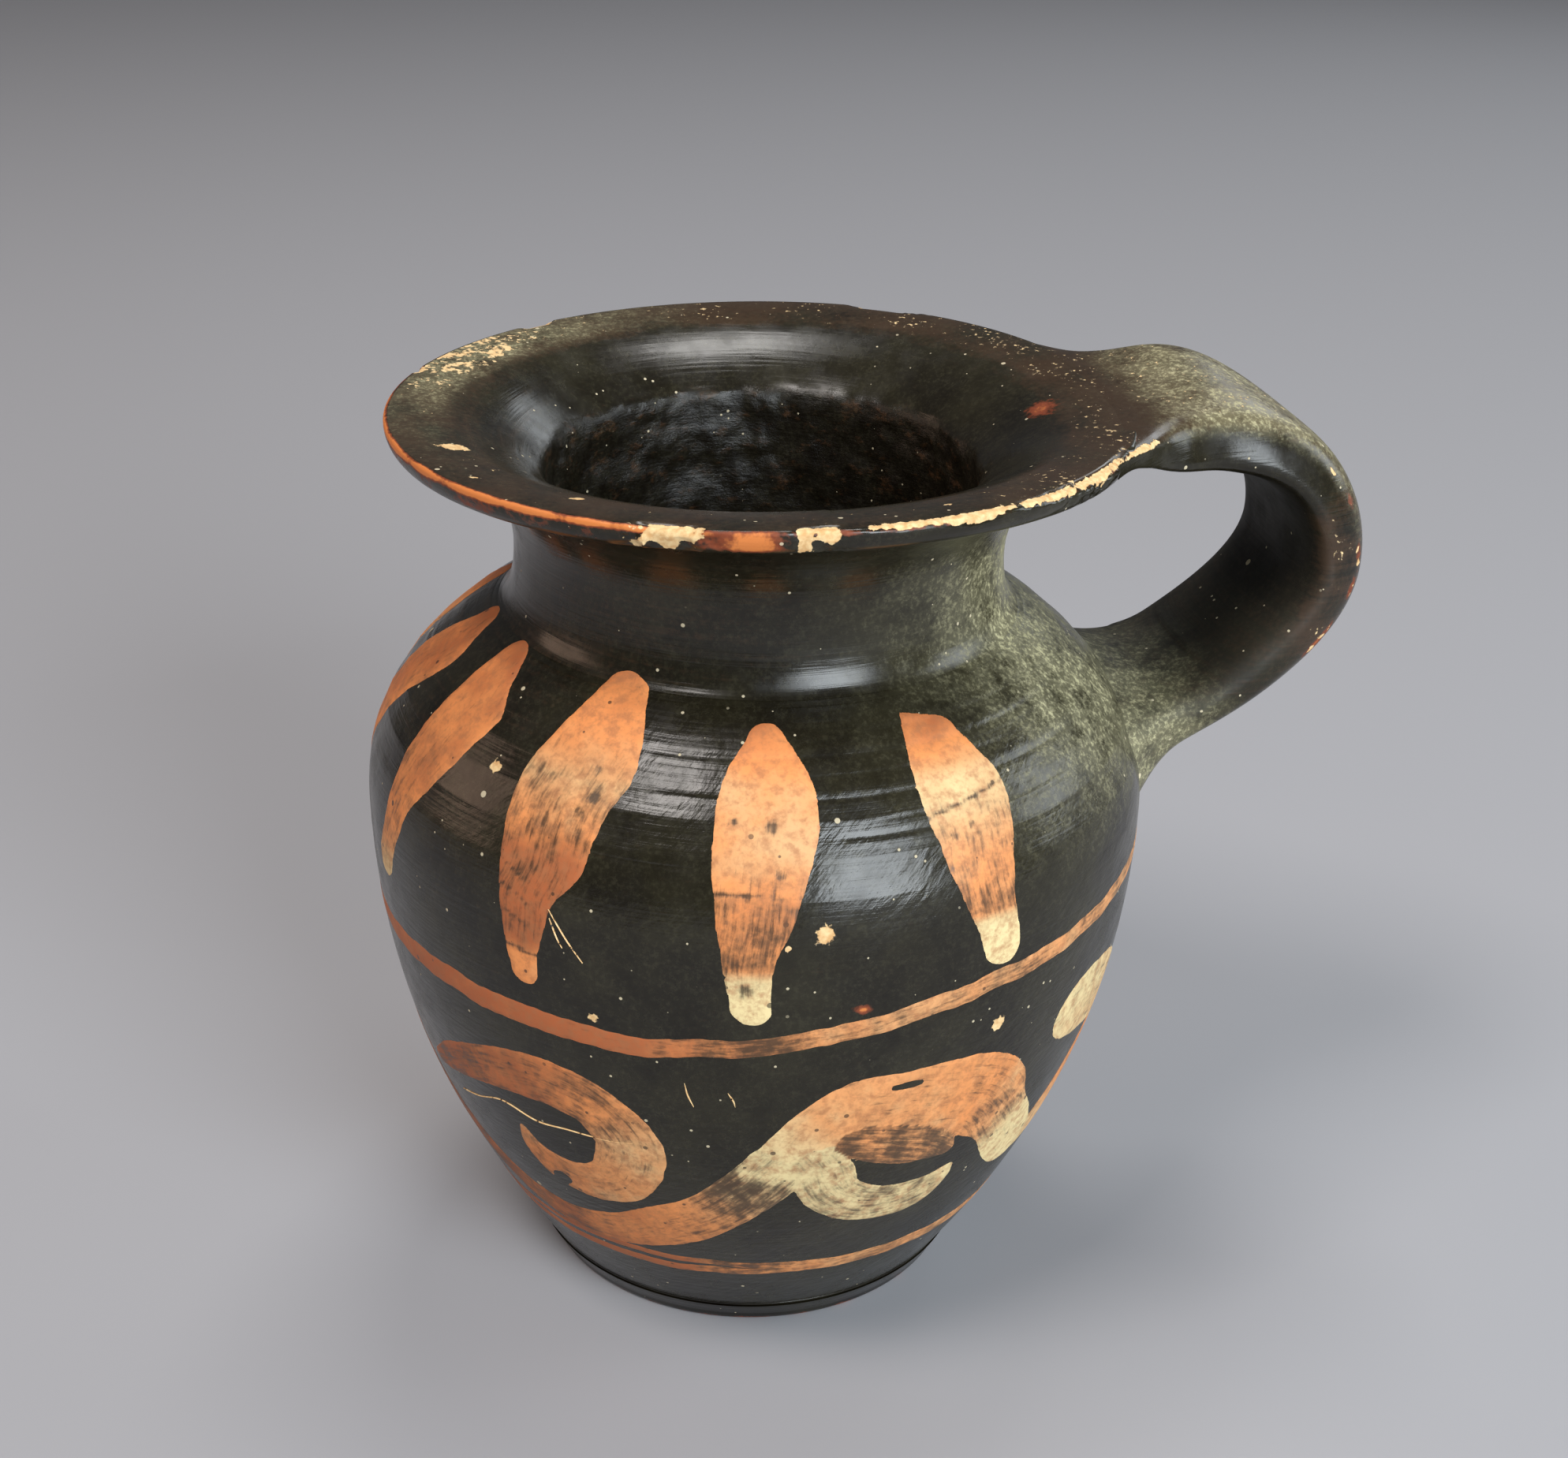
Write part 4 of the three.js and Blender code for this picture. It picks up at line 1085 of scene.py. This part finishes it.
# The five tongues that lie to the front: rows of (height, left edge, right edge) from the top to the tip,
# then the look along them as (share of the length, thin, pooled, red).
FRONT_TONGUES = {
    "tongue_1": (
        ((69.3, 15.7, 15.9), (68.6, 15.2, 23.4), (67.5, 14.5, 25.6), (66, 13.8, 27.2), (64.7, 13.6, 28.6),
         (62.9, 13.8, 28.8), (60.5, 14.8, 27.8), (58, 15.8, 26.6), (54.8, 17.8, 26), (52.5, 19.3, 26.4),
         (50.3, 20.6, 27.1), (47.9, 21.5, 27.2)),
        ((0, 0.3, 0, 0.9), (0.12, 0.15, 0, 0.6), (0.24, 0.05, 0.4, 0.1), (0.3, 0.05, 0.6, 0),
         (0.36, 0.3, 0.6, 0), (0.5, 0.45, 0.35, 0.2), (0.6, 0.6, 0.2, 0.3), (0.76, 0.58, 0.2, 0.3),
         (0.83, 0.1, 1, 0), (1, 0, 1, 0))),
    "tongue_2": (
        ((69.4, -12.4, -7.4), (68.8, -13.0, -6.7), (67.7, -14.6, -4.8), (66.4, -16.4, -3.1),
         (64.9, -17.3, -2.1), (62.8, -17.6, -2.2), (60.5, -17.6, -3.3), (58.1, -17.1, -4.7),
         (54.8, -16.4, -6.5), (52, -15.8, -8.4), (48.8, -15, -9), (46.7, -14.4, -8.8),
         (45.4, -14.0, -8.9)),
        ((0, 0.2, 0, 0.8), (0.1, 0.05, 0, 0.5), (0.22, 0, 0.1, 0.15), (0.42, 0.1, 0.15, 0.1),
         (0.52, 0.4, 0.1, 0.3), (0.65, 0.6, 0, 0.5), (0.78, 0.7, 0.1, 0.5), (0.84, 0.4, 0.8, 0.1),
         (0.88, 0.1, 1, 0), (1, 0, 1, 0))),
    "tongue_3": (
        ((71.7, -42.4, -35.9), (71.0, -43.2, -34.4), (69.5, -45, -32.6), (67.2, -47.5, -30.8),
         (65.4, -49.1, -30.7), (62.6, -49.8, -33.2), (60, -49.2, -34.5), (57.5, -48.6, -35.4),
         (54.6, -48, -39), (52.1, -47.3, -40.1), (49.5, -46.7, -41.1), (47, -45.9, -41.3),
         (45.8, -45.6, -41.4)),
        ((0, 0.15, 0, 0.6), (0.12, 0, 0, 0.45), (0.25, 0.1, 0.2, 0.3), (0.36, 0.5, 0.5, 0.2),
         (0.5, 0.6, 0.3, 0.4), (0.6, 0.5, 0, 0.9), (0.8, 0.62, 0, 1.1), (0.87, 0.3, 0, 0.7),
         (0.9, 0.05, 0.3, 0.4), (1, 0, 0.3, 0.4))),
    "tongue_4": (
        ((70.7, -72.6, -67.2), (69.8, -73.3, -65.2), (68.2, -74.1, -62.5), (66.4, -74.9, -59.6),
         (64.1, -75.6, -61.3), (62.2, -76, -63), (59.6, -76.4, -65.7), (56.8, -76.6, -69),
         (53.5, -77.3, -71.3), (49, -80, -74.5), (47.5, -79.6, -75.2)),
        ((0, 0.2, 0, 0.8), (0.3, 0.2, 0.1, 0.5), (0.6, 0.45, 0.1, 0.6), (0.85, 0.4, 0.4, 0.3),
         (1, 0.2, 0.8, 0))),
    "tongue_5": (
        ((70.7, -92.8, -87.0), (69.4, -94, -85.0), (67.4, -98, -82.5), (65.2, -101, -85),
         (62.5, -102.5, -89.6), (57.7, -105.5, -95), (53, -107, -99.5), (49.5, -107, -102),
         (47.9, -106.5, -102.4)),
        ((0, 0.25, 0, 0.8), (0.4, 0.3, 0.1, 0.6), (0.8, 0.5, 0.2, 0.5), (1, 0.2, 0.6, 0.1))),
}
# The hidden ones follow the same stroke: half breadths of a plain tongue, set off at these angles.
PLAIN_TONGUE = ((70.9, 3.2), (69.6, 4.6), (67.4, 7.2), (65, 8.6), (62.4, 8.6), (58.2, 6.8), (54, 4.9),
                (50, 3.5), (47.4, 2.9), (46.2, 2.7))
PLAIN_LEAN = 0.35
PLAIN_ANGLES = {"tongue_6": -116, "tongue_7": -143, "tongue_8": -170, "tongue_9": -197}
PLAIN_LOOK = ((0, 0.2, 0.1, 0.6), (0.3, 0.2, 0.2, 0.3), (0.6, 0.6, 0.1, 0.5), (0.85, 0.4, 0.5, 0.2),
              (1, 0.1, 0.9, 0))
for number, (name, (rows, looks)) in enumerate(FRONT_TONGUES.items()):
    paint_tongue(name, rows, looks, 20 + 3 * number)
for number, (name, middle) in enumerate(PLAIN_ANGLES.items()):
    rows = []
    for height, half in PLAIN_TONGUE:
        lean = middle - PLAIN_LEAN * (PLAIN_TONGUE[0][0] - height)
        rows.append((height, lean - half, lean + half))
    paint_tongue(name, rows, PLAIN_LOOK, 40 + 3 * number)


# Running scroll: a wavy stem with curling tendrils, drawn freehand round the lower belly in the same paint
# with a broad soft brush, and drawn again on the far side.
# Each stroke: (angle, height, half breadth) along its middle, then its look as on the tongues.
SCROLL = (
    (((-72, 28.4, 1.0), (-64, 31, 2.0), (-56, 33, 2.4), (-47.4, 34.5, 2.9), (-40.4, 34.7, 3.1),
      (-34, 33.2, 3.2), (-29.8, 29.2, 3.6), (-32.5, 24.2, 3.2), (-38.5, 22.4, 2.8), (-44.4, 22.6, 2.4),
      (-48.6, 24.4, 1.6), (-50, 26.8, 0.5)),
     ((0, 0.7, 0, 1), (0.2, 0.55, 0, 0.9), (0.4, 0.45, 0.2, 0.7), (0.5, 0.65, 0.3, 0.5),
      (0.6, 0.45, 0.5, 0.3), (0.75, 0.35, 0.4, 0.4), (0.9, 0.4, 0.3, 0.6), (1, 0.4, 0.4, 0.5))),
    (((-92, 31, 1.2), (-84, 27, 1.5), (-72, 20.5, 1.8), (-60, 16.3, 2.0), (-47, 14.4, 2.5),
      (-35, 15.5, 2.9), (-25, 18.2, 3.4), (-18, 20.9, 3.2), (-11, 25.1, 3.3), (-7, 28.3, 3.4)),
     ((0, 0.6, 0, 0.9), (0.5, 0.6, 0, 0.8), (0.66, 0.35, 0.1, 0.6), (0.8, 0.45, 0.3, 0.4),
      (0.86, 0.85, 0.4, 0.3), (0.93, 1, 0.6, 0.1), (0.97, 0.6, 0.9, 0), (1, 0.3, 1, 0))),
    (((-6, 29.5, 3), (-1.5, 33, 3.2), (4, 35.2, 3.5), (10, 35, 3.8), (16, 34.3, 4.5), (22, 33.4, 5),
      (27, 31.6, 4.7), (31.5, 28.2, 3.5), (36, 24.4, 3.5), (39, 22.2, 3.2), (41, 21.2, 2.6)),
     ((0, 0.2, 0.8, 0), (0.15, 0.25, 0.4, 0.3), (0.4, 0.35, 0.35, 0.3), (0.6, 0.4, 0.3, 0.4),
      (0.74, 0.7, 0.5, 0.3), (0.86, 0.2, 0.9, 0), (1, 0.1, 1, 0))),
    (((-2.5, 29, 3), (-0.3, 27, 3.1), (1.8, 24, 2.9), (6.5, 21.8, 2.9), (12, 20.9, 2.8),
      (17.2, 20.9, 2.6), (21, 22, 1.7), (23.2, 23.6, 0.5)),
     ((0, 0.35, 0.9, 0), (0.3, 0.5, 1, 0), (0.6, 0.65, 1, 0), (0.8, 0.6, 1, 0), (1, 0.3, 1, 0))),
    (((4, 31.2, 2.2), (9, 30.4, 3.1), (14, 29.3, 3.1), (18, 28.2, 2.3), (20.5, 27, 1.2)),
     ((0, 0.85, 0.3, 0.3), (1, 0.95, 0.4, 0.3))),
    (((41, 36.2, 1.2), (44, 37, 3.2), (48, 37, 4), (54, 36.2, 4.1), (60, 34.4, 3.7), (68, 31, 3),
      (77, 27, 2.2), (84, 24, 1)),
     ((0, 0.3, 0.9, 0), (0.5, 0.4, 0.5, 0.3), (1, 0.4, 0.2, 0.5))),
    (((41, 20.6, 1.6), (46, 21.6, 2.6), (52, 24, 3.2), (58, 27.6, 3.2), (66, 31, 2.8), (78, 32.4, 2.3),
      (90, 31.5, 1.6)),
     ((0, 0.3, 0.8, 0.1), (0.3, 0.3, 0.3, 0.5), (1, 0.4, 0.1, 0.7))),
)
# Gaps in the paint: angle, height, half length and half height, and the spall on the left curl.
SCROLL_GAPS = ((11, 37.0, 1.3, 0.35), (-46.5, 29.6, 1.6, 0.5), (-44.8, 21.3, 1.0, 0.8))


def stroke_line(knots):
    """Points close together along the middle of a stroke: angle, way up the wall, half breadth, length."""
    knots = np.array(knots, float)
    knots[:, 1] = rise_at(knots[:, 1])
    place = np.arange(len(knots))
    share = np.linspace(0, len(knots) - 1, 24 * len(knots))
    line = np.stack([smooth_through(np.stack([place, knots[:, k]], 1), share) for k in range(3)], 1)
    per_degree = mm_per_degree(line[:, 1])
    steps = np.hypot(np.diff(line[:, 0]) * per_degree[1:], np.diff(line[:, 1]))
    return line, np.append(0, np.cumsum(steps))


SCROLL_LINES = [(stroke_line(knots), looks) for knots, looks in SCROLL]


def scroll_at(angle, rise):
    """The stroke that lies deepest under each place: its depth, the way of its brush and its look."""
    per_degree = mm_per_degree(rise)
    depth = np.full(len(angle), -9.0)
    brush = np.zeros((len(angle), 3))
    look = np.zeros((len(angle), 3))
    for number, ((line, length), looks) in enumerate(SCROLL_LINES):
        beside = (angle[:, None] - line[:, 0]) * per_degree[:, None]
        above = rise[:, None] - line[:, 1]
        inside_by = line[:, 2] - np.hypot(beside, above)
        nearest = inside_by.argmax(1)
        picked = np.arange(len(angle)), nearest
        deeper = inside_by[picked] > depth
        ahead = np.gradient(line[:, :2], axis=0)[nearest]
        ahead[:, 0] *= per_degree
        ahead /= np.linalg.norm(ahead, axis=1)[:, None] + 1e-9
        off = beside[picked] * ahead[:, 1] - above[picked] * ahead[:, 0]
        along_line = length[nearest]
        depth = np.where(deeper, inside_by[picked], depth)
        stroke_brush = np.stack([along_line, off, np.full(len(angle), 10.0 * number)], 1)
        brush[deeper] = stroke_brush[deeper]
        look[deeper] = along_stroke(looks, along_line / length[-1])[deeper]
    for gap_angle, gap_height, gap_length, gap_rise in SCROLL_GAPS:
        beside = (angle - gap_angle) * per_degree / gap_length
        above = (rise - rise_at(gap_height)) / gap_rise
        depth = np.minimum(depth, (np.hypot(beside, above) - 1) * min(gap_length, gap_rise))
    return depth + ragged_edge(angle, rise, 60), brush, look


for name, turn in (("scroll_front", 0), ("scroll_back", 180)):
    brushed_layer(name, (turn - 96, turn + 93), (rise_at(10.5), rise_at(43)),
                  lambda angle, rise: scroll_at(angle - turn, rise))


# Scratches: thin scores through paint and gloss down to the pale clay, got in the ground and in use. They
# have no thickness to speak of and are laid on as fine lines. Each is drawn as (angle, height) along it.
SCRATCHES = (
    ((-66, 26.4), (-60, 27.6), (-53, 29.4), (-46, 28.9), (-40, 29.4), (-33, 29.6), (-29, 30.0)),
    ((-39.6, 54.2), (-37.8, 52.6), (-36.2, 51.2), (-34.4, 49.8)),
    ((-39.4, 53.4), (-38.2, 51.6), (-37.4, 50.8)),
    ((-20.6, 38.6), (-20.2, 37.2), (-19.4, 35.9)),
    ((-14.6, 37.8), (-13.9, 36.9), (-13.6, 36.2)),
)
SCRATCH_HALF = 0.09
SCRATCH_PROUD = 0.09
SCRATCH_SECTION = ((-1, -PAINT_SUNK), (-1, 0), (0, SCRATCH_PROUD), (1, 0), (1, -PAINT_SUNK))
scratch_sides = len(SCRATCH_SECTION)
scratch_points = []
scratch_faces = []
for knots in SCRATCHES:
    line, length = stroke_line([knot + (1,) for knot in knots])
    ahead = np.gradient(line[:, :2], axis=0)
    per_degree = mm_per_degree(line[:, 1])
    ahead[:, 0] *= per_degree
    ahead /= np.linalg.norm(ahead, axis=1)[:, None]
    half = SCRATCH_HALF * np.minimum(1, 0.3 + 2 * np.minimum(length, length[-1] - length) / length[-1])
    ring = []
    for side, proud in SCRATCH_SECTION:
        edge_angle = line[:, 0] - side * ahead[:, 1] * half / per_degree
        edge_rise = line[:, 1] + side * ahead[:, 0] * half
        ring.append(on_wall(edge_angle, edge_rise, proud))
    base = sum(len(part) for part in scratch_points)
    count = len(line)
    for side in range(scratch_sides):
        here = base + side * count
        beside = base + (side + 1) % scratch_sides * count
        for step in range(count - 1):
            scratch_faces.append((here + step, beside + step, beside + step + 1, here + step + 1))
    scratch_faces.append(tuple(base + side * count for side in reversed(range(scratch_sides))))
    scratch_faces.append(tuple(base + side * count + count - 1 for side in range(scratch_sides)))
    scratch_points.extend(ring)
scratches = clay_object("scratches", np.concatenate(scratch_points), scratch_faces)
scratches.data.materials.append(gloss)
mark(scratches, "bare", np.full(len(scratches.data.vertices), 0.6))
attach(scratches, "root")


# Ground, light and camera: a pale table, a broad window-like light from the front, softer ones from the
# sides, the back and above, and a camera that looks down at the pot as the photograph does.
FLOOR_HALF = 3.0
TABLE_PALE = (0.36, 0.36, 0.38, 1)
floor_corners = [(-FLOOR_HALF, -FLOOR_HALF, 0), (FLOOR_HALF, -FLOOR_HALF, 0), (FLOOR_HALF, FLOOR_HALF, 0),
                 (-FLOOR_HALF, FLOOR_HALF, 0)]
floor_mesh = bpy.data.meshes.new("floor")
floor_mesh.from_pydata(floor_corners, [], [(0, 1, 2, 3)])
floor = bpy.data.objects.new("floor", floor_mesh)
bpy.context.scene.collection.objects.link(floor)
table = bpy.data.materials.new("pale_table")
table.use_nodes = True
table.node_tree.nodes["Principled BSDF"].inputs["Base Color"].default_value = TABLE_PALE
table.node_tree.nodes["Principled BSDF"].inputs["Roughness"].default_value = 0.9
floor.data.materials.append(table)

# Lamps: angle from the front, height angle, distance, breadth and height in metres, watts, colour.
LAMPS = {
    "window": (21, 22, 0.85, 0.42, 0.50, 8.6, (0.88, 0.95, 1.0)),
    "right_window": (86, 20, 1.0, 0.40, 0.45, 2.6, (0.88, 0.95, 1.0)),
    "ceiling": (-55, 60, 0.95, 0.30, 0.30, 4.4, (1.0, 0.94, 0.90)),
    "overhead": (160, 72, 0.9, 0.28, 0.28, 2.5, (1.0, 0.98, 0.95)),
    "back_window": (138, 26, 1.0, 0.3, 0.3, 0.8, (0.90, 0.96, 1.0)),
    "left_glow": (-105, 18, 1.1, 0.5, 0.5, 1.7, (1.0, 0.66, 0.48)),
}
aim = Vector((0, 0, 0.05))
for name, (lamp_angle, lamp_lift, distance, breadth, tallness, watts, colour) in LAMPS.items():
    lamp_data = bpy.data.lights.new(name, "AREA")
    lamp_data.shape = "RECTANGLE"
    lamp_data.size = breadth
    lamp_data.size_y = tallness
    lamp_data.energy = watts
    lamp_data.color = colour
    lamp = bpy.data.objects.new(name, lamp_data)
    tilt = math.radians(lamp_lift)
    direction = Vector(around(lamp_angle, math.cos(tilt), math.sin(tilt)))
    lamp.location = aim + direction * distance
    lamp.rotation_mode = "QUATERNION"
    lamp.rotation_quaternion = direction.to_track_quat("Z", "Y")
    bpy.context.scene.collection.objects.link(lamp)

ROOM_LIGHT = (0.85, 0.88, 0.95, 1)
ROOM_STRENGTH = 0.10
world = bpy.data.worlds.new("room")
world.use_nodes = True
world.node_tree.nodes["Background"].inputs["Color"].default_value = ROOM_LIGHT
world.node_tree.nodes["Background"].inputs["Strength"].default_value = ROOM_STRENGTH
bpy.context.scene.world = world
bpy.context.scene.view_settings.view_transform = "Standard"

PHOTO_WIDTH = 1988
FOCAL_PIXELS = 3000
CAMERA_DISTANCE = 212.36
CAMERA_HEIGHT = 156.5
CAMERA_YAW = math.radians(12.456)
CAMERA_PITCH = math.radians(25.305)
CAMERA_ROLL = math.radians(1.370)
SENSOR_WIDTH = 36
camera_data = bpy.data.cameras.new("camera")
camera_data.sensor_fit = "HORIZONTAL"
camera_data.sensor_width = SENSOR_WIDTH
camera_data.lens = SENSOR_WIDTH * FOCAL_PIXELS / PHOTO_WIDTH
camera_data.clip_start = 0.01
camera = bpy.data.objects.new("camera", camera_data)
facing = Matrix.Rotation(-CAMERA_YAW, 4, "Z") @ Matrix.Rotation(math.pi / 2 - CAMERA_PITCH, 4, "X")
camera_place = Vector(around(-CAMERA_TURN, CAMERA_DISTANCE, CAMERA_HEIGHT)) * MM
camera.matrix_world = Matrix.Translation(camera_place) @ facing @ Matrix.Rotation(CAMERA_ROLL, 4, "Z")
bpy.context.scene.collection.objects.link(camera)
bpy.context.scene.camera = camera
